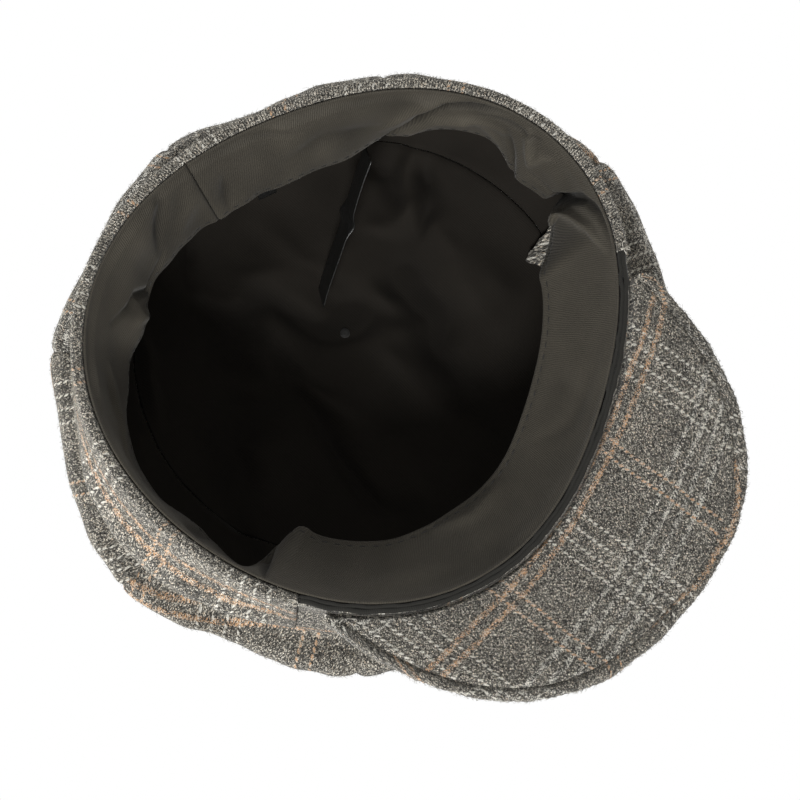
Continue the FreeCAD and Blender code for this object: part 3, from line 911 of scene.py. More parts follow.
def make_materials():
    look = looks()
    inputs = {
        "Dark": rgba(look.tweed_dark), "Middle": rgba(look.tweed_middle), "Light": rgba(look.tweed_light),
        "Tan": rgba(look.check_tan), "White": rgba(look.check_white), "Repeat": look.check_repeat / MM,
        "Gap": look.check_gap / MM, "Wale": look.wale / MM}
    cloth_material("Tweed", tweed_group(check_group(), fleck_group()), inputs, 1.0, 0.4, {
        "Roughness": 0.95, "Sheen Weight": 0.16, "Sheen Roughness": 0.5, "Specular IOR Level": 0.1})

    weave = twill_group()
    for name, tint, pitch, slant, contrast, patches, depth, values in (
            ("Sweatband twill", look.twill, 0.8, 0.35, 1.0, 0.7, 0.16,
             {"Roughness": 0.72, "Sheen Weight": 0.12, "Sheen Roughness": 0.4, "Specular IOR Level": 0.25}),
            ("Lining cloth", look.lining, 0.7, 0.02, 0.7, 0.5, 0.06,
             {"Roughness": 0.85, "Sheen Weight": 0.05, "Sheen Roughness": 0.4, "Specular IOR Level": 0.12}),
            ("Binding tape", look.binding, 0.7, 0.3, 0.6, 0.4, 0.15,
             {"Roughness": 0.75, "Sheen Weight": 0.1, "Specular IOR Level": 0.25}),
            ("Label satin", look.satin, 0.22, 0.0, 0.9, 0.5, 0.05,
             {"Roughness": 0.38, "Specular IOR Level": 0.9})):
        inputs = {
            "Color": rgba(tint), "Pitch": pitch, "Slant": slant, "Contrast": contrast, "Patches": patches}
        cloth_material(name, weave, inputs, 0.8, depth, values)

    thread = {"Roughness": 0.7, "Sheen Weight": 0.2, "Specular IOR Level": 0.3}
    board = (900.0, 3.0, 0.6), (0.3, 0.7, 0.8, 1.15), 0.4
    for row in (
            ("Tweed fuzz", look.fuzz, (700.0, 1.0, 0.5), (0.35, 0.65, 0.35, 1.25), 0,
             {"Roughness": 0.8, "Specular IOR Level": 0.2}),
            ("Dark thread", look.thread, (2400.0, 2.0, 0.6), (0.3, 0.7, 0.7, 1.35), 0.5, thread),
            ("Pale thread", look.pale_thread, (2400.0, 2.0, 0.6), (0.3, 0.7, 0.7, 1.35), 0.5, thread),
            ("Buckram", (0.55, 0.52, 0.45), *board, {"Roughness": 0.85}),
            ("Visor board", (0.030, 0.029, 0.026), *board, {"Roughness": 0.8}),
            ("Button plate", (0.42, 0.42, 0.41), (350.0, *board[0][1:]), *board[1:],
             {"Roughness": 0.38, "Metallic": 1.0})):
        grain_material(*row)


# ---- crown ------------------------------------------------------------------------------------

SOFT = {
    "crown": Ripples(52 * MM, seed=11),
    "small": Ripples(15 * MM, seed=12),
    "fine": Ripples(6 * MM, seed=13),
    "lining": Ripples(34 * MM, seed=14),
    "drift": Ripples(24 * MM, seed=15),
}


# The tweed that is seen is a little thinner than the solids that it stands for
TWEED_SHARE = 0.9

# Where each panel was cut from the checked cloth: across and along in millimetres, and its lean
PANEL_CLOTH = [
    (12, 33, 0), (20.5, 58, 12), (8, 40, -6), (25, 12, 4),
    (-6, 31, -3), (19, 50, 5), (-24, 8, 0), (3, 26, -4),
]


def crown_softness(places):
    """How far the soft crown bulges or dents, the same for the tweed and the lining."""
    return 0.9 * MM * SOFT["crown"].at(places) + 0.22 * MM * SOFT["small"].at(places)


def seam_spacing(count):
    """Shares from 0 to 1, closer together at both ends."""
    even = np.linspace(-1, 1, count)
    return (np.sin(even * math.pi / 2) * 0.55 + even * 0.45) / 2 + 0.5


class CAP_OT_crown(bpy.types.Operator):
    """Sews the crown: tweed panels that roll into plain seams from the band to the button"""
    bl_idname = "cap.crown"
    bl_label = "Crown panels"

    def execute(self, context):
        across, climb = crossed(seam_spacing(61), np.linspace(0, 1, 101) * self.last_climb())
        hairs = [self.panel(number, across, climb) for number in range(shape().panels)]
        finish(joined("crown_fuzz", hairs), "Tweed fuzz", CAP, "tweed")
        self.allowance()
        return {"FINISHED"}

    def allowance(self):
        """Raw corner of a panel's seam allowance, folded in over the lining beside the front flap."""
        size = shape()
        turns, shares = crossed(np.linspace(-1, 1, 21), np.linspace(0, 1, 25))
        middle, half = math.radians(293), math.radians(9)
        azimuth = middle + half * turns
        ragged = 0.002 * np.sin(turns * 23)
        climb = 0.60 + (0.056 + 0.080 * (1 - np.abs(turns) ** 1.3) + ragged) * shares
        flat, normal = lining_face(azimuth, climb, size.tweed + size.lining_slack + 6.0 * MM)
        uvs = np.stack([azimuth * size.opening, climb * 100 * MM], -1)
        piece = cloth("seam_allowance", flat, uvs, size.tweed * 0.6, -normal)
        finish(piece, "Tweed", CAP, "tweed")
        depth, width, area = runs(flat[8])[-1], runs(flat[:, 12])[-1], flat_area(flat).sum()

    def last_climb(self):
        """Climb at which the panels end, under the button."""
        climbs = np.linspace(0.9, 1, 400)
        radius = crown_row(climbs)[:, 1] * (shape().opening + shape().overhang)
        return float(climbs[np.argmax(radius < 3.0 * MM)])

    def panel(self, number, across, climb):
        """Makes a panel, and gives its hairs."""
        size = shape()
        turn = 2 * math.pi / size.panels
        azimuth = size.first_seam + number * turn + turn * across
        flat = crown_place(azimuth, climb, size.panel_flatness * np.sin(math.pi * across) ** 2)
        height = crown_row(climb)[..., 2]
        out = flat - (slump(height) + level(height))
        radius = np.linalg.norm(out, axis=-1)
        to_seam = np.minimum(across, 1 - across) * turn * radius
        run = runs(flat[30])
        normal = normals(flat, out)
        narrow = np.clip(radius / (30 * MM), 0.15, 1)
        groove = 0.7 * MM * bump(to_seam, 1.1 * MM * narrow) * narrow
        crease = 2.0 * MM * bump(run / (3 * MM), 1)[None, :]
        tuck = 4.0 * MM * sagging(azimuth) * bump(run[None, :] / (4.5 * MM), 1)
        pucker = 0.28 * MM * np.sin(run / (5.5 * MM) * 2 * math.pi + 2.1 * number)
        pucker = pucker * bump(to_seam - 3 * MM, 4 * MM) * narrow
        full = 0.4 * MM * bump(to_seam - 6 * MM, 5 * MM) * narrow
        calm = ease(climb / 0.06) * ease((1 - climb / climb.max()) / 0.06)
        push = (crown_softness(flat) + pucker + full) * calm - groove - crease - 0.35 * MM
        grid = flat + normal * push[..., None] - ray(azimuth) * tuck[..., None] - level(tuck * 0.60)
        side = (across - 0.5) * turn * radius
        shift, rise, lean = PANEL_CLOTH[number % len(PANEL_CLOTH)]
        lean = math.radians(lean)
        uvs = np.stack([side * math.cos(lean) + run * math.sin(lean) + shift * MM,
                        run * math.cos(lean) - side * math.sin(lean) + rise * MM], -1)
        piece = cloth("crown_tweed_%d" % (number + 1), grid, uvs, size.tweed * TWEED_SHARE, out)
        finish(piece, "Tweed", CAP, "tweed", "crown_panel_%d" % (number + 1))
        return fibres(grid, normal, PANEL_HAIRS, seed=100 + number)


# ---- band and binding -------------------------------------------------------------------------

def rounded(corners, radius, steps=5):
    """Open outline with its inner corners rounded: rows of outwards and height."""
    corners = np.asarray(corners, float)
    points = [corners[0]]
    for before, here, after in zip(corners[:-2], corners[1:-1], corners[2:]):
        back, on = before - here, after - here
        cut = min(radius, np.linalg.norm(back) * 0.45, np.linalg.norm(on) * 0.45)
        start = here + back / np.linalg.norm(back) * cut
        end = here + on / np.linalg.norm(on) * cut
        for part in np.linspace(0, 1, steps):
            points.append((1 - part) ** 2 * start + 2 * part * (1 - part) * here + part ** 2 * end)
    return np.array([*points, corners[-1]])


def refined(outline, spacing):
    """The outline with points added so that none are further apart than the spacing."""
    points = [outline[0]]
    for start, end in zip(outline[:-1], outline[1:]):
        count = max(1, int(math.ceil(np.linalg.norm(end - start) / spacing)))
        points += [start + (end - start) * part / count for part in range(1, count + 1)]
    return np.array(points)


# Where the band was cut from the checked cloth: round the head and across the band
BAND_CLOTH = np.array([-47.6, -15.2]) * MM

# Angle, in radians, left open beside each of the band's two side seams
SIDE_SEAM_GAP = 0.002


def front_azimuths(count):
    """Azimuths from one side seam to the other, over the visor."""
    end = shape().side_seam - SIDE_SEAM_GAP
    return np.linspace(-end, end, count)


class CAP_OT_band(bpy.types.Operator):
    """Wraps the band: tweed rolled up inside at the rim, and the dark tape along the visor seam"""
    bl_idname = "cap.band"
    bl_label = "Band and binding"

    def execute(self, context):
        self.back()
        self.front()
        self.binding()
        self.loose_ends()
        return {"FINISHED"}

    def loose_ends(self):
        """Pale ends of thread left at the visor's two corners."""
        size = shape()
        random = np.random.default_rng(31)
        steps = np.linspace(0, 1, 12)[:, None]
        paths = []
        for side in (-1, 1):
            corner = np.array([side * size.side_seam])
            root = rim_place(corner, size.rim_width * 0.6, rim_height(corner) + 0.2 * MM)[0]
            for _ in range(5):
                way = ray(corner + random.uniform(-1.6, 1.6))[0]
                across = np.array([-way[1], way[0], 0])
                reach = random.uniform(2.0, 4.2) * MM
                bend = random.uniform(-0.5, 0.5) * reach
                sag = level(np.array(-random.uniform(0.4, 1.6) * MM))
                paths.append(root + way * reach * steps + across * bend * np.sin(math.pi * steps * 0.8)
                             + sag * np.sin(math.pi * 0.6 * steps))
        ends = joined("thread_ends", [tube(path, 0.11 * MM) for path in paths])
        finish(ends, "Pale thread", CAP, "thread")

    def back(self):
        size = shape()
        wall, top = size.rim_width, size.band_height
        outline = rounded([
            (wall + size.band_flare, top),
            (wall, size.band_upright),
            (wall, 0),
            (size.gap, 0),
            (size.gap, size.rim_turning),
        ], 2.1 * MM)
        outline = refined(outline, 0.8 * MM)
        azimuths = np.linspace(
            size.side_seam + SIDE_SEAM_GAP, 2 * math.pi - size.side_seam - SIDE_SEAM_GAP, 521)
        azimuth, outwards = crossed(azimuths, outline[:, 0])
        grid = rim_place(azimuth, outwards, outline[:, 1] + 0 * azimuth)
        middle = rim_place(azimuths, 0 * azimuths, 0 * azimuths)
        uvs = np.stack(crossed(runs(middle), runs(outline)), -1) + BAND_CLOTH
        outer = outline[None, :, 0] > wall * 0.6
        climb = np.clip(grid[..., 2] / top, 0, 1)
        bulge = band_bulge(azimuths)[:, None] * climb ** 1.3 + band_lip(azimuths[:, None], grid[..., 2])
        grid = grid + ray(azimuths)[:, None] * (bulge * outer)[..., None]
        out = ray(azimuths)[:, None] * np.where(outer, 1, -1)[..., None]
        normal = normals(grid, out)
        height = grid[..., 2]
        seam = 1.3 * MM * bump(height - top, 2.2 * MM) * outer
        soft = 0.35 * MM * SOFT["crown"].at(grid) + 0.16 * MM * SOFT["small"].at(grid)
        soft = soft * np.where(outer, ease(height / (5 * MM)), 0)
        dent = 0.8 * MM * bump(height - 4.4 * MM, 1.3 * MM) * outer
        roll = bump(np.maximum(height - 1.2 * MM, 0), 1.8 * MM) * (outline[None, :, 0] > 0.6 * MM)
        roll = roll * window(azimuths, 222, 72, 30)[:, None]
        grid = grid + normal * (soft - seam - dent)[..., None]
        grid[..., 2] = np.maximum(grid[..., 2], 0.0)
        piece = cloth("band_tweed_back", grid, uvs, size.tweed * TWEED_SHARE, out, roll)
        finish(piece, "Tweed", CAP, "tweed", "band_back")
        seen = (outline[:, 0] > 0.5 * MM)[None, :] + 0 * height
        hairs = fibres(grid, normal, BAND_HAIRS, seed=120, part=seen)
        finish(joined("band_fuzz", [hairs]), "Tweed fuzz", CAP, "tweed")

    def front(self):
        size = shape()
        outside = 2 * size.gap + size.binding_width
        flare = size.rim_width + size.band_flare
        azimuths = front_azimuths(241)
        out = ray(azimuths)[:, None]
        low = size.binding_height + size.gap + rim_height(azimuths)
        height = size.band_height + (low - size.band_height)[:, None] * np.linspace(0, 1, 34)
        lean = np.clip((height - size.front_upright) / (size.band_height - size.front_upright), 0, 1)
        grid = rim_place(azimuths[:, None] + 0 * height, outside + (flare - outside) * lean, height)
        soft = 0.3 * MM * SOFT["crown"].at(grid) * lean * (1 - lean) * 4
        seam = 1.0 * MM * bump(height - size.band_height, 2.2 * MM)
        bulge = band_bulge(azimuths)[:, None] * lean + band_lip(azimuths[:, None], height)
        grid = grid + out * bulge[..., None]
        grid = grid + normals(grid, out) * (soft - seam)[..., None]
        round_head = azimuths[:, None] * size.opening + 0 * height
        uvs = np.stack([round_head + BAND_CLOTH[0], size.band_height - height], -1)
        piece = cloth("band_tweed_front", grid, uvs, size.tweed * TWEED_SHARE, out)
        finish(piece, "Tweed", CAP, "tweed", "band_front")

    def binding(self):
        size = shape()
        azimuths = front_azimuths(301)
        low = rim_height(azimuths)
        around = np.linspace(0, 2 * math.pi, 22, endpoint=False)
        radius = size.binding_width / 4
        rise = size.binding_height / 2
        for number, name in enumerate(("inner", "outer")):
            centre = size.gap + radius * (1 + 2 * number)
            wave = 0.12 * MM * SOFT["fine"].at(rim_place(azimuths, 0 * azimuths + number * 5 * MM, low))
            outwards = centre + radius * (1.04 + 0.3 * number) * np.cos(around)[None, :] + wave[:, None]
            height = low[:, None] + rise + rise * np.sin(around)[None, :]
            rings = rim_place(azimuths[:, None] + 0 * outwards, outwards, height)
            for end in (0, -1):
                rings[end] = rings[end].mean(0) + (rings[end] - rings[end].mean(0)) * 0.5
            run = azimuths[:, None] * size.opening + 0 * outwards
            uvs = np.stack([run, around[None, :] * radius + 0 * run], -1)
            piece = new_piece("binding_roll_%s" % name, rings, ring_faces(*rings.shape[:2]), uvs)
            finish(piece, "Binding tape", CAP, "binding", "visor_binding")


# ---- visor ------------------------------------------------------------------------------------

def visor_cloth(places):
    """Flat positions of the visor's cloth: the check bows towards the head at the tips."""
    across, along = places[..., 0], places[..., 1]
    bow = -0.184 * across + 2.124 * across ** 2
    lean = 0.085 * (along + 80 * MM)
    return np.stack([across - lean + 27.2 * MM, -(along - bow) - 89.6 * MM], -1)


def visor_grid(turns, outline):
    """Sweeps radial outlines from tip to tip. outline(depth) gives distances from the inner edge
    and heights over the visor's underside."""
    edge = visor_edge(turns)
    azimuths = np.arctan2(edge[:, 0], -edge[:, 1])
    rows = []
    for end, azimuth, start in zip(edge, azimuths, opening(azimuths) + shape().visor_start):
        profile = outline(float(np.linalg.norm(end) - start))
        points = ray(azimuth) * (start + profile[:, 0])[:, None]
        rows.append(points + level(arch(points[:, 0]) + profile[:, 1]))
    return np.array(rows)


class CAP_OT_visor(bpy.types.Operator):
    """Covers the visor's board: an upper cover rolled under at the edge, and a lower cover"""
    bl_idname = "cap.visor"
    bl_label = "Visor"

    def turned(self, depth):
        return min(shape().visor_turning, 0.45 * depth)

    def cover(self, side, grid, uvs, out):
        """Makes a cover from its grid and its flat cloth positions."""
        piece = cloth("visor_tweed_%s" % side, grid, uvs, shape().tweed * TWEED_SHARE, out)
        finish(piece, "Tweed", VISOR, "tweed", "visor_%s_cover" % side)
        depth, width, area = runs(grid[len(grid) // 2])[-1], runs(grid[:, 0])[-1], flat_area(grid).sum()

    def upper_outline(self, depth):
        top = shape().visor_thickness
        taper = min(3.0 * MM, 0.3 * depth)
        curve = rounded([
            (0, top - 0.8 * MM),
            (taper, top),
            (depth, top),
            (depth, 0),
            (depth - self.turned(depth), 0),
        ], min(2.4 * MM, 0.4 * depth), 7)
        run = runs(curve)
        at = np.linspace(0, run[-1], 120)
        return np.stack([np.interp(at, run, curve[:, 0]), np.interp(at, run, curve[:, 1])], -1)

    def lower_outline(self, depth):
        end = depth - self.turned(depth) - shape().gap
        taper = min(3.0 * MM, 0.3 * depth)
        along = np.linspace(0, 1, 84) ** 1.5 * end
        return np.stack([along, 0.8 * MM * (1 - ease(along / taper))], -1)

    def execute(self, context):
        size = shape()
        turns = np.linspace(math.radians(5.5), math.radians(174.5), 361)
        upper = visor_grid(turns, self.upper_outline)
        edge = visor_edge(turns)[:, None]
        below = upper[..., 2] - arch(upper[..., 0]) < size.visor_thickness * 0.5
        to_edge = np.linalg.norm((edge - upper)[..., :2], axis=-1)
        run = runs(upper[:, 60])[:, None]
        out = np.array([0, 0, 1.0]) * np.where(below, -1, 1)[..., None]
        normal = normals(upper, out)
        groove = 0.55 * MM * bump(to_edge - 4.9 * MM, 0.9 * MM) * ~below
        fall = 1.0 * MM * bump(to_edge - self.turned(1), 1.1 * MM) * below
        rib = 0.12 * MM * np.sin(run / (2.1 * MM) * 2 * math.pi) * bump(to_edge, 2 * MM)
        soft = 0.18 * MM * SOFT["small"].at(upper) + 0.1 * MM * SOFT["fine"].at(upper)
        upper = upper + normal * (soft + rib - groove - fall)[..., None]
        outwards = unit((edge - upper[:, :1]) * (1, 1, 0))
        uvs = visor_cloth(upper[:, :1] + outwards * runs(upper, 1)[..., None])
        self.cover("upper", upper, uvs, out)
        to_seam = np.linalg.norm(upper - upper[:, :1], axis=-1)
        hairs = [fibres(upper, normal, VISOR_HAIRS, seed=130, part=to_seam > VISOR_BARE)]

        lower = visor_grid(turns, self.lower_outline)
        to_edge = np.linalg.norm((edge - lower)[..., :2], axis=-1)
        to_seam = np.linalg.norm(lower - lower[:, :1], axis=-1)
        out = np.array([0, 0, -1.0])
        normal = normals(lower, out)
        soft = 0.22 * MM * SOFT["small"].at(lower) * ease(to_seam / (6 * MM))
        end = 1.0 * MM * bump(to_edge - self.turned(1), 1.2 * MM) + 1.5 * MM * bump(to_seam, 0.5 * MM)
        lower = lower + normal * (soft - end)[..., None]
        self.cover("lower", lower, visor_cloth(lower), out)
        hairs.append(fibres(lower, normal, VISOR_HAIRS, seed=131, part=to_seam > VISOR_BARE))
        finish(joined("visor_fuzz", hairs), "Tweed fuzz", VISOR, "tweed")
        return {"FINISHED"}


# ---- sweatband --------------------------------------------------------------------------------

# How far inside the sweatband's free edge its row of stitches runs
STITCHES_IN = 1.9 * MM


def once_round(join, gap, count):
    """Azimuths once round the head from a seam that stays open by the gap on both of its sides."""
    start = join + gap
    return np.linspace(start, start + 2 * math.pi - 2 * gap, count)


class CAP_OT_sweatband(bpy.types.Operator):
    """Sews the sweatband: ribbed twill with a stitched free edge, one seam and its gathers"""
    bl_idname = "cap.sweatband"
    bl_label = "Sweatband"

    def loose(self, azimuth, climb):
        """How far the free edge stands in or out where the band was bent by hand."""
        total = 0
        for middle, half, height in EDGE_BENDS:
            total = total + height * MM * swell(azimuth, middle, half)
        return total * ease(climb) ** 1.2

    def folds(self, azimuth, climb):
        size = shape()
        flat = np.stack([azimuth * size.opening, climb * size.sweatband_width], -1)
        total = 0
        for line, height, width in SWEATBAND_FOLDS:
            line = np.array([
                (math.radians(turn) * size.opening, up * size.sweatband_width) for turn, up in line])
            for lap in (0, 2 * math.pi * size.opening):
                total = total + fold(flat - np.array([lap, 0]), line, height * MM, width * MM)
        return total

    def face(self, azimuth, climb):
        """Inner, visible face of the sweatband with its folds, and the fold values that paint shade into
        its creases and a highlight onto its ridges.
        """
        size = shape()
        flat = sweatband_place(azimuth, climb)
        normal = normals(flat, -ray(azimuth))
        run = apart(azimuth, math.pi) * size.opening
        back = window(azimuth, 183, 62, 40)
        gather = 0.3 * MM * np.sin(run / (17 * MM) * 2 * math.pi + 3 * np.sin(run / (31 * MM)))
        gather = gather * back * ease(climb / 0.5) * (0.6 + 0.4 * climb)
        soft = 0.5 * MM * SOFT["crown"].at(flat) + 0.3 * MM * SOFT["small"].at(flat)
        soft = soft * (0.35 + 0.65 * back)
        soft = (soft + self.folds(azimuth, climb)) * ease(climb / 0.12)
        full = 2.4 * MM * window(azimuth, 190, 65, 20) * np.sqrt(np.clip(4 * climb * (1 - climb), 0, 1))
        full = full + 2.4 * MM * swell(azimuth, 269, 9) * ease(climb / 0.5)
        full = full + 0.6 * MM + 0.9 * MM * swell(azimuth, 270, 30)
        room = 0.3 * MM + 0.85 * sweatband_lean(azimuth) * climb
        # fold relief kept for painted shade in the twill's creases and a painted highlight on its ridges
        roll = np.clip(soft / (3 * MM), -1, 0.4)
        soft = np.maximum(soft + gather + full * ease(climb / 0.15), -room) + self.loose(azimuth, climb)
        join = 0.7 * MM * bump(apart(azimuth, size.sweatband_join) * size.opening, 0.8 * MM)
        stitched = 0.28 * MM * bump((1 - climb) * size.sweatband_width - STITCHES_IN, 0.7 * MM)
        push = size.twill + soft - join - stitched
        return flat + normal * push[..., None], normal, roll

    def execute(self, context):
        size = shape()
        climbs = np.linspace(0, 1, 49)
        azimuth, climb = crossed(once_round(size.sweatband_join, gap=0.0012, count=641), climbs)
        grid, normal, roll = self.face(azimuth, climb)
        round_head = runs(grid[:, 0])
        uvs = np.stack([round_head[:, None] + 0 * climb, climb * size.sweatband_width], -1)
        piece = cloth("sweatband_twill", grid, uvs, size.twill, -ray(azimuth), roll)
        finish(piece, "Sweatband twill", CAP, "twill", "sweatband")
        row = int(round((1 - STITCHES_IN / size.sweatband_width) * (len(climbs) - 1)))
        paths = stitch_row(
            grid[:, row], normal[:, row], size.stitch, part=0.62, sink=0.15 * MM, rise=0.16 * MM)
        stitches = joined("sweatband_stitches", [tube(path, 0.2 * MM) for path in paths])
        finish(stitches, "Dark thread", CAP, "thread")
        return {"FINISHED"}


# Folds of the sweatband: a line of azimuths in degrees and shares of the climb, height and width in
# millimetres. A height below 0 is a valley.
SWEATBAND_FOLDS = [
    ([(228, 1.2), (233, 0.82), (237, 0.61), (241, 0.28), (244, 0.17), (248, 0.13), (253, 0.08), (260, 0)],
     -4.5, 1.3),
    ([(230, 0.7), (236, 0.36), (242, 0.06), (250, 0)], 1.8, 2.6),
    ([(236, 0.95), (242, 0.55), (250, 0.36), (258, 0.4)], 3.0, 3.6),
    ([(252, 0.22), (255, 0.17), (258, 0.17), (262, 0.17), (266, 0.12)], -2.4, 1.2),
    ([(270, 1.5), (274, 1), (276, 0.71), (279, 0.49), (282, 0.24), (286, 0.10), (290, 0.05), (296, 0.03)],
     -9.5, 1.6),
    ([(278, 1.1), (281, 0.75), (285, 0.46), (289, 0.28), (295, 0.15)], 3.4, 2.0),
    ([(267, 0.7), (271, 0.75), (274, 0.77), (279, 0.7)], -1.8, 1.4),
    ([(263, 0.05), (264, 0.25), (266, 0.58)], 2.2, 1.8),
    ([(266, 0.6), (268, 0.31), (271, 0.2)], 1.8, 1.8),
    ([(258, 0.95), (253, 0.55), (248, 0.4)], 1.6, 3.0),
    ([(263, 1.1), (260, 0.6), (258, 0.3)], -2.2, 1.6),
    ([(165, 0.7), (168, 0.47), (170, 0.33), (172, 0.19), (173, 0)], -1.8, 2.4),
    ([(172, 0.75), (178, 0.5), (180, 0.2)], 1.2, 4.0),
    ([(184, 0), (190, 0.03), (197, 0.05), (203, 0.14), (209, 0.26)], -1.4, 2.0),
    ([(144, 0.4), (150, 0.62), (153, 0.67), (156, 0.9), (161, 0.89), (166, 0.74)], -2.2, 1.6),
    ([(147, 0.75), (150, 0.85), (152, 1.1)], 2.2, 2.4),
    ([(186, 0.95), (188, 0.4)], -1.2, 2.0),
    ([(205, 0.6), (215, 0.5), (228, 0.62)], -1.2, 4.0),
    ([(110, 0.5), (122, 0.62), (134, 0.45)], 1.6, 3.0),
    ([(88, 0.2), (92, 0.55), (90, 1)], -2.0, 4.0),
    ([(66, 1.3), (70, 1.05), (74, 0.84), (73, 0.5), (72, 0.22), (71, 0)], -3.5, 1.7),
    ([(28, 0.9), (16, 0.8), (2, 0.86)], 1.0, 3.0),
    ([(52, 0.3), (40, 0.42), (25, 0.38)], 0.8, 6.0),
    ([(330, 0.2), (322, 0.6), (312, 0.8)], 0.8, 5.0),
    ([(345, 0.7), (338, 0.4), (325, 0.3)], -0.7, 4.0),
]

# Where the sweatband's free edge is bent in or out: azimuth, half width in degrees, and millimetres
EDGE_BENDS = [
    (22, 20, 4.5),
    (282, 5.5, 6),
    (263, 5, 2.5),
    (252, 9, -5.5),
    (234, 14, -4.5),
    (93, 9, 3),
    (131, 14, 4),
    (148, 5, 3),
    (70, 3, 2),
]


# ---- lining -----------------------------------------------------------------------------------

def lining_face(azimuth, climb, depth):
    """Inside of the crown at a depth under the tweed, with the crown's own softness."""
    hollow = shape().panel_flatness
    step = 0.004
    above, below = np.clip(climb + step, 0, 1), np.clip(climb - step, 0, 1)
    round_head = crown_place(azimuth + step, climb, hollow) - crown_place(azimuth - step, climb, hollow)
    upwards = crown_place(azimuth, above, hollow) - crown_place(azimuth, below, hollow)
    normal = unit(np.cross(round_head, upwards))
    flat = crown_place(azimuth, climb, hollow)
    return flat + normal * (crown_softness(flat) * ease(climb / 0.06) - depth)[..., None], normal


# Soft folds of the slack lining, in millimetres: a line of points, its height and its width.
# A height below 0 is a valley.
FOLDS = [
    ([(20, 72, 88), (4, 63, 90), (-6, 51, 91), (-12, 33, 92), (-28, 19, 91), (-40, 16, 91)], -3.2, 7),
    ([(10, 74, 89), (-4, 62, 91), (-16, 48, 92), (-20, 36, 92)], 2.0, 6),
    ([(22, 70, 88), (14, 54, 90), (14, 40, 90)], -3.0, 10),
    ([(16, 56, 90), (11, 33, 91), (3, 14, 92)], -2.0, 4),
    ([(18, 36, 91), (20, 19, 92), (24, -9, 90), (28, -32, 87), (30, -46, 84)], -3.4, 6.5),
    ([(8, 26, 92), (12, 4, 92), (16, -16, 91), (18, -44, 86)], 2.4, 8),
    ([(16, 22, 92), (35, 30, 89), (50, 30, 87), (62, 15, 84), (73, -3, 80), (76, -20, 76)], -3.8, 9),
    ([(30, 12, 91), (46, 10, 89), (52, -8, 87)], 2.0, 10),
    ([(-56, 40, 89), (-48, 31, 90), (-37, 8, 92), (-30, -6, 92), (-28, -20, 91), (-22, -44, 86)], -3.8, 8),
    ([(-36, 34, 91), (-25, 12, 92), (-18, -10, 92), (-14, -30, 90)], 1.8, 7),
    ([(-90, 45, 78), (-77, 37, 85), (-58, 29, 89)], -3.2, 4.5),
    ([(-76, 72, 80), (-69, 53, 86), (-60, 44, 88)], -3.0, 6),
    ([(-84, 56, 80), (-68, 42, 87), (-48, 44, 91)], 2.2, 5),
    ([(-66, 22, 88), (-60, 2, 89), (-52, -20, 88)], 1.6, 8),
    ([(-2, 96, 83), (10, 84, 87), (16, 76, 88)], -1.8, 3),
    ([(26, 94, 79), (56, 66, 82), (82, 38, 73)], 2.8, 5),
    ([(-17, 88, 87), (-20, 60, 92), (-30, 40, 92)], 2.0, 9),
]


def lining_folds(places):
    total = 0
    drift = np.stack([SOFT["drift"].at(places + shift * MM) for shift in (0, 70, 140)], -1)
    places = places + 2.2 * MM * drift
    for line, height, width in FOLDS:
        total = total + fold(places, np.array(line) * MM, 1.3 * height * MM, width * MM)
    return total


class CAP_OT_lining(bpy.types.Operator):
    """Hangs the lining: a side strip and a round top with slack folds"""
    bl_idname = "cap.lining"
    bl_label = "Lining"

    def slack(self, places):
        hang = 3.4 * MM + lining_folds(places) + 0.8 * MM * SOFT["lining"].at(places)
        return np.maximum(hang + 0.12 * MM * SOFT["small"].at(places), 0)

    def seam(self, away, azimuth):
        """Depth of the groove at the seam between strip and top, deepest at the wearer's right."""
        return 0.5 * MM * bump(away, 1.0 * MM) * (0.25 + 0.75 * window(azimuth, 270, 45, 30))

    def roll(self, places):
        # fold relief for painted shade in the lining's creases and a painted highlight on its ridges
        return np.clip(lining_folds(places) / (9 * MM), -1, 1)

    def execute(self, context):
        size = shape()
        depth = size.tweed + size.lining_slack
        climbs = size.lining_hem + (size.lining_seam - size.lining_hem) * np.linspace(0, 1, 71)
        join = math.radians(186)
        azimuth, climb = crossed(once_round(join, gap=0.001, count=481), climbs)
        flat, normal = lining_face(azimuth, climb, depth)
        run = runs(flat[0])
        seam = self.seam(run[-1] - run, azimuth)
        held = ease((climb - climb.min()) / 0.25)
        grid = flat - normal * (self.slack(flat) * held - seam)[..., None]
        back = grid - normal * size.lining
        uvs = np.stack([(azimuth - azimuth[0, 0]) * size.opening, run[None, :] + 0 * azimuth], -1)
        roll = self.roll(flat)
        piece = cloth("lining_strip", back, uvs, size.lining, -normal, roll)
        finish(piece, "Lining cloth", CAP, "lining", "lining_side")
        self.top(depth)
        return {"FINISHED"}

    def top(self, depth):
        size = shape()
        low = size.lining_seam + size.gap / (size.opening + size.overhang)
        steps = np.linspace(-1, 1, 141)
        across, along = crossed(steps, steps)
        east = across * np.sqrt(1 - along ** 2 / 2)
        north = along * np.sqrt(1 - across ** 2 / 2)
        away = np.hypot(east, north)
        azimuth = np.arctan2(east, -north)
        climb = 1 - (1 - low) * away
        flat, normal = lining_face(azimuth, np.minimum(climb, 0.9995), depth)
        normal[away < 0.02] = (0, 0, 1)
        seam = self.seam((1 - away) * 60 * MM, azimuth)
        grid = flat - normal * (self.slack(flat) - seam + size.lining)[..., None]
        reach = size.opening * 0.8
        uvs = np.stack([east * reach, north * reach], -1)
        piece = cloth("lining_round", grid, uvs, size.lining, np.array([0, 0, -1.0]), self.roll(flat))
        finish(piece, "Lining cloth", CAP, "lining", "lining_top")
        lowest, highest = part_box("lining_top")
        width, depth = highest.x - lowest.x, highest.y - lowest.y


# ---- label and tab ----------------------------------------------------------------------------

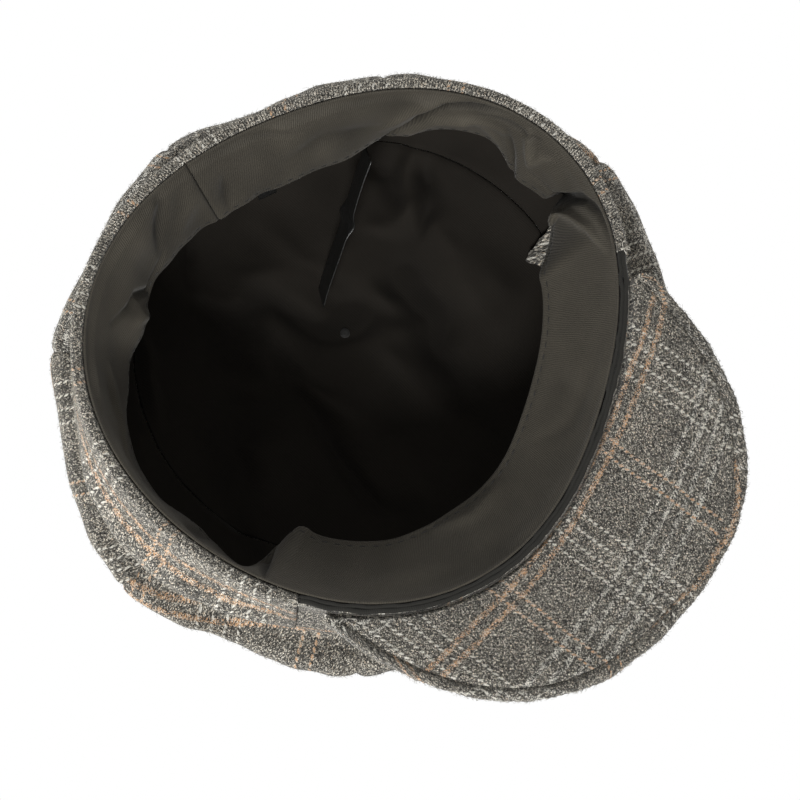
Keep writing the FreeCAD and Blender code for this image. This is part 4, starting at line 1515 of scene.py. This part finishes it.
class CAP_OT_label(bpy.types.Operator):
    """Hangs the blank satin care label and the small size tab on the sweatband's edge"""
    bl_idname = "cap.label"
    bl_label = "Label and tab"

    def execute(self, context):
        joint = [each for each in frame["joints"] if each["name"] == "label_flap"][0]
        root = np.array(joint["pos_m"])
        flat = -np.array(joint["axis"])
        azimuth = math.radians(226)
        inwards = -ray(azimuth) * 40 * MM
        sideways = np.array([math.cos(azimuth), math.sin(azimuth), 0]) * -19 * MM
        reach = inwards + sideways + level(crown_top() - 11.8 * MM - root[2])
        size = (12 * MM, float(np.linalg.norm(reach)))
        along = reach / size[1]
        width = unit(flat - along * (flat @ along))
        upright = np.cross(along, width)
        climb = np.linspace(0, 1, 61)
        turn = np.radians(79 + 2 * ease(climb / 0.1) - 17 * bump(climb - 0.44, 0.05))
        ways = width * np.cos(turn)[:, None] + upright * np.sin(turn)[:, None]
        faces = np.cross(along, ways)
        curl = 0.2 * MM * np.sin(climb * 9) * ease(climb / 0.2) * ease((1 - climb) / 0.1)
        down, side = crossed(size[1] * climb, size[0] * np.linspace(-0.5, 0.5, 13))
        middle = root + along * down[:, :1] + faces * (curl + 0.2 * MM)[:, None]
        grid = middle[:, None] + ways[:, None] * side[..., None]
        uvs = np.stack([side, down], -1)
        piece = cloth("care_label_satin", grid, uvs, 0.4 * MM, faces[:, None])
        finish(piece, "Label satin", LABEL, "satin", "care_label")
        self.tab()
        return {"FINISHED"}

    def tab(self):
        size = shape()
        middle = math.radians(197)
        azimuths = middle + np.linspace(-1, 1, 13) * 4 * MM / size.opening
        azimuth, climb = crossed(azimuths, np.linspace(0.9, 1.1, 13))
        grid = sweatband_place(azimuth, climb) + ray(azimuth) * 0.25 * MM
        uvs = np.stack([(azimuth - azimuths[0]) * size.opening, climb * size.sweatband_width], -1)
        piece = cloth("size_tab_tape", grid, uvs, 0.7 * MM, -ray(azimuth))
        finish(piece, "Label satin", CAP, "tab", "size_tab")


# ---- button -----------------------------------------------------------------------------------

class CAP_OT_button(bpy.types.Operator):
    """Covers the button on the crown in gathered tweed; its plate and thread are finished with the inside
    pieces
    """
    bl_idname = "cap.button"
    bl_label = "Button"

    def execute(self, context):
        size = shape()
        axis = crown_axis()
        seat = size.gap
        edge = seat + size.tweed
        outline = rounded([
            (0, edge + size.button_dome),
            (size.button_radius * 0.62, edge + size.button_dome * 0.86),
            (size.button_radius, edge + size.button_dome * 0.1),
            (size.button_radius * 0.96, seat),
            (8.7 * MM, seat),
        ], 5 * MM, 9)
        outline = refined(outline, 0.5 * MM)
        turns = np.linspace(0, 2 * math.pi, 121)[:-1]
        radius, height = outline[:, 0], outline[:, 1]
        low = ease((radius - 6 * MM) / (6 * MM))
        gathers = 0.18 * MM * np.sin(24 * turns)[:, None] * low[None, :] * (height < edge + 1 * MM)[None, :]
        spread = radius[None, :] + gathers
        points = np.stack([np.cos(turns)[:, None] * spread, np.sin(turns)[:, None] * spread,
                           height[None, :] + 0 * spread], -1)
        points = points + axis
        points[..., 2] += 0.12 * MM * SOFT["small"].at(points)
        index = np.arange(spread.size).reshape(spread.shape)
        after = np.roll(index, -1, 0)
        quads = np.stack([index[:, :-1], index[:, 1:], after[:, 1:], after[:, :-1]], -1)
        uvs = np.stack([points[..., 0] - axis[0] + 17 * MM, points[..., 1] - axis[1] + 12 * MM], -1)
        piece = new_piece("button_tweed", points, quads.reshape(-1, 4), uvs)
        solid = piece.modifiers.new("Thickness", "SOLIDIFY")
        solid.thickness = 1.2 * MM
        solid.offset = -1
        apply_modifiers(piece)
        finish(piece, "Tweed", CAP, "tweed", "button_cover", "button_shell")
        return {"FINISHED"}


def apply_modifiers(piece):
    graph = bpy.context.evaluated_depsgraph_get()
    piece.data = bpy.data.meshes.new_from_object(piece.evaluated_get(graph))
    piece.modifiers.clear()


# ---- inside pieces that keep their solids -----------------------------------------------------

INSIDE_FINISHES = {
    "front_buckram": "Buckram",
    "back_buckram": "Buckram",
    "rear_elastic": "Buckram",
    "visor_board": "Visor board",
    "button_back": "Button plate",
    "button_thread": "Dark thread",
}


class CAP_OT_inside(bpy.types.Operator):
    """Finishes the solids that stay as they are: board, stiffeners, elastic, button plate and thread"""
    bl_idname = "cap.inside"
    bl_label = "Inside pieces"

    def execute(self, context):
        for name, material in INSIDE_FINISHES.items():
            node = frame["nodes"][name]
            if not node.data.materials:
                node.data.materials.append(bpy.data.materials[material])
            for slot in node.material_slots:
                slot.material = bpy.data.materials[material]
        return {"FINISHED"}


# ---- stage ------------------------------------------------------------------------------------

class CAP_OT_stage(bpy.types.Operator):
    """Sets the pale floor, the soft light from above and below, and the camera under the opening"""
    bl_idname = "cap.stage"
    bl_label = "Stage"

    def execute(self, context):
        self.world()
        self.floor()
        self.lamps()
        self.camera()
        return {"FINISHED"}

    def world(self):
        stage = bpy.context.scene.cap_stage
        world = bpy.data.worlds.new("Studio")
        bpy.context.scene.world = world
        world.use_nodes = True
        world.node_tree.nodes.clear()
        wires = Wires(world.node_tree)
        path = wires.add("ShaderNodeLightPath")
        mirrored = wires.math("MAXIMUM", path["Is Glossy Ray"], path["Is Transmission Ray"])
        seen = wires.math("MAXIMUM", path["Is Camera Ray"], mirrored)
        strength = stage.ambient + seen * (1 - stage.ambient)
        back = wires.add("ShaderNodeBackground", {"Color": (1, 1, 1, 1), "Strength": strength})
        wires.add("ShaderNodeOutputWorld", {"Surface": back[0]})

    def floor(self):
        """A floor that is seen from above only, so that the cap can be looked at from below."""
        stage = bpy.context.scene.cap_stage
        half = stage.floor_size / 2
        height = cad_box[0][2] - 0.3 * MM
        corners = [
            (-half, -half, height), (half, -half, height), (half, half, height), (-half, half, height)]
        floor = new_piece("floor", corners, [[0, 1, 2, 3]])
        made = bpy.data.materials.new("Floor")
        made.use_nodes = True
        made.node_tree.nodes.clear()
        wires = Wires(made.node_tree)
        path = wires.add("ShaderNodeLightPath")
        behind = wires.add("ShaderNodeNewGeometry")["Backfacing"]
        place = wires.add("ShaderNodeTexCoord")["Object"]
        away = wires.add("ShaderNodeVectorMath", {0: place}, operation="LENGTH")["Value"]
        near = wires.step(away, stage.floor_fade * 2.4, stage.floor_fade)
        pale = wires.add("ShaderNodeBsdfDiffuse", {"Color": rgba(stage.floor)})
        clear = wires.add("ShaderNodeBsdfTransparent")
        shown = path["Is Camera Ray"] * (1.0 - behind) * near
        mixed = wires.add("ShaderNodeMixShader", {0: shown, 1: clear[0], 2: pale[0]})
        wires.add("ShaderNodeOutputMaterial", {"Surface": mixed[0]})
        floor.data.materials.append(made)

    def lamps(self):
        """Large soft lamps, half of them over the cap and half under it."""
        stage = bpy.context.scene.cap_stage
        # for each lamp: its place and its size in metres, and its share of a key lamp's strength
        places = {
            "Key below": ((1.16, -0.67, -1.05), 0.42, 1.1),
            "Side left": ((1.10, 1.10, 0.20), 0.7, 1.0),
            "Side right": ((-1.30, 0.60, 0.05), 0.7, 0.65),
            "Key above": ((-0.8, -0.9, 1.25), 0.8, 0.8),
            "Fill above": ((1.1, 0.8, 1.2), 1.2, 0.3),
        }
        middle = Vector((0, 0, 40 * MM))
        for name, (place, size, part) in places.items():
            lamp = bpy.data.lights.new(name, "AREA")
            lamp.shape = "DISK"
            lamp.size = size
            lamp.energy = stage.lamp * part
            made = bpy.data.objects.new(name, lamp)
            bpy.context.scene.collection.objects.link(made)
            made.location = place
            made.rotation_euler = (middle - made.location).to_track_quat("-Z", "Y").to_euler()

    def camera(self):
        """Stands under the head opening, off its axis by the tilt, with the visor to the lower right."""
        stage = bpy.context.scene.cap_stage
        target = Vector((stage.target_x, stage.target_y, 0))
        level_way = Vector((math.sin(stage.heading), math.cos(stage.heading), 0))
        away = level_way * math.sin(stage.tilt) + Vector((0, 0, -math.cos(stage.tilt)))
        lens = bpy.data.cameras.new("Camera")
        lens.lens = stage.lens
        lens.sensor_width = 36
        lens.clip_start = 0.05
        camera = bpy.data.objects.new("Camera", lens)
        bpy.context.scene.collection.objects.link(camera)
        forward = -away
        up = (-level_way - forward * forward.dot(-level_way)).normalized()
        right = forward.cross(up)
        turn = Matrix((right, up, -forward)).transposed().to_4x4()
        camera.matrix_world = Matrix.Translation(target + away * stage.distance) @ turn
        bpy.context.scene.camera = camera
        bpy.context.scene.view_settings.view_transform = "Standard"


# ---- add-on -----------------------------------------------------------------------------------

OPERATORS = (CAP_OT_crown, CAP_OT_band, CAP_OT_visor, CAP_OT_sweatband, CAP_OT_lining, CAP_OT_label,
             CAP_OT_button, CAP_OT_inside, CAP_OT_stage)


class CAP_PT_panel(bpy.types.Panel):
    """Lists the cap's sizes, colours and pieces"""
    bl_idname = "CAP_PT_panel"
    bl_label = "Newsboy cap"
    bl_space_type = "VIEW_3D"
    bl_region_type = "UI"
    bl_category = "Cap"

    def draw(self, context):
        for operator in OPERATORS:
            self.layout.operator(operator.bl_idname)
        for group in (context.scene.cap_shape, context.scene.cap_looks, context.scene.cap_stage):
            box = self.layout.box()
            for name in group.bl_rna.properties.keys():
                if name not in ("rna_type", "name"):
                    box.prop(group, name)


GROUPS = {"cap_shape": CapShape, "cap_looks": CapLooks, "cap_stage": CapStage}


def register():
    for name, group in GROUPS.items():
        bpy.utils.register_class(group)
        setattr(bpy.types.Scene, name, bpy.props.PointerProperty(type=group))
    for operator in OPERATORS:
        bpy.utils.register_class(operator)
    bpy.utils.register_class(CAP_PT_panel)


def unregister():
    bpy.utils.unregister_class(CAP_PT_panel)
    for operator in reversed(OPERATORS):
        bpy.utils.unregister_class(operator)
    for name, group in GROUPS.items():
        delattr(bpy.types.Scene, name)
        bpy.utils.unregister_class(group)


def main():
    register()
    make_materials()
    bpy.ops.cap.crown()
    bpy.ops.cap.band()
    bpy.ops.cap.visor()
    bpy.ops.cap.sweatband()
    bpy.ops.cap.lining()
    bpy.ops.cap.label()
    bpy.ops.cap.button()
    bpy.ops.cap.inside()
    bpy.ops.cap.stage()


if __name__ == "__main__":
    main()
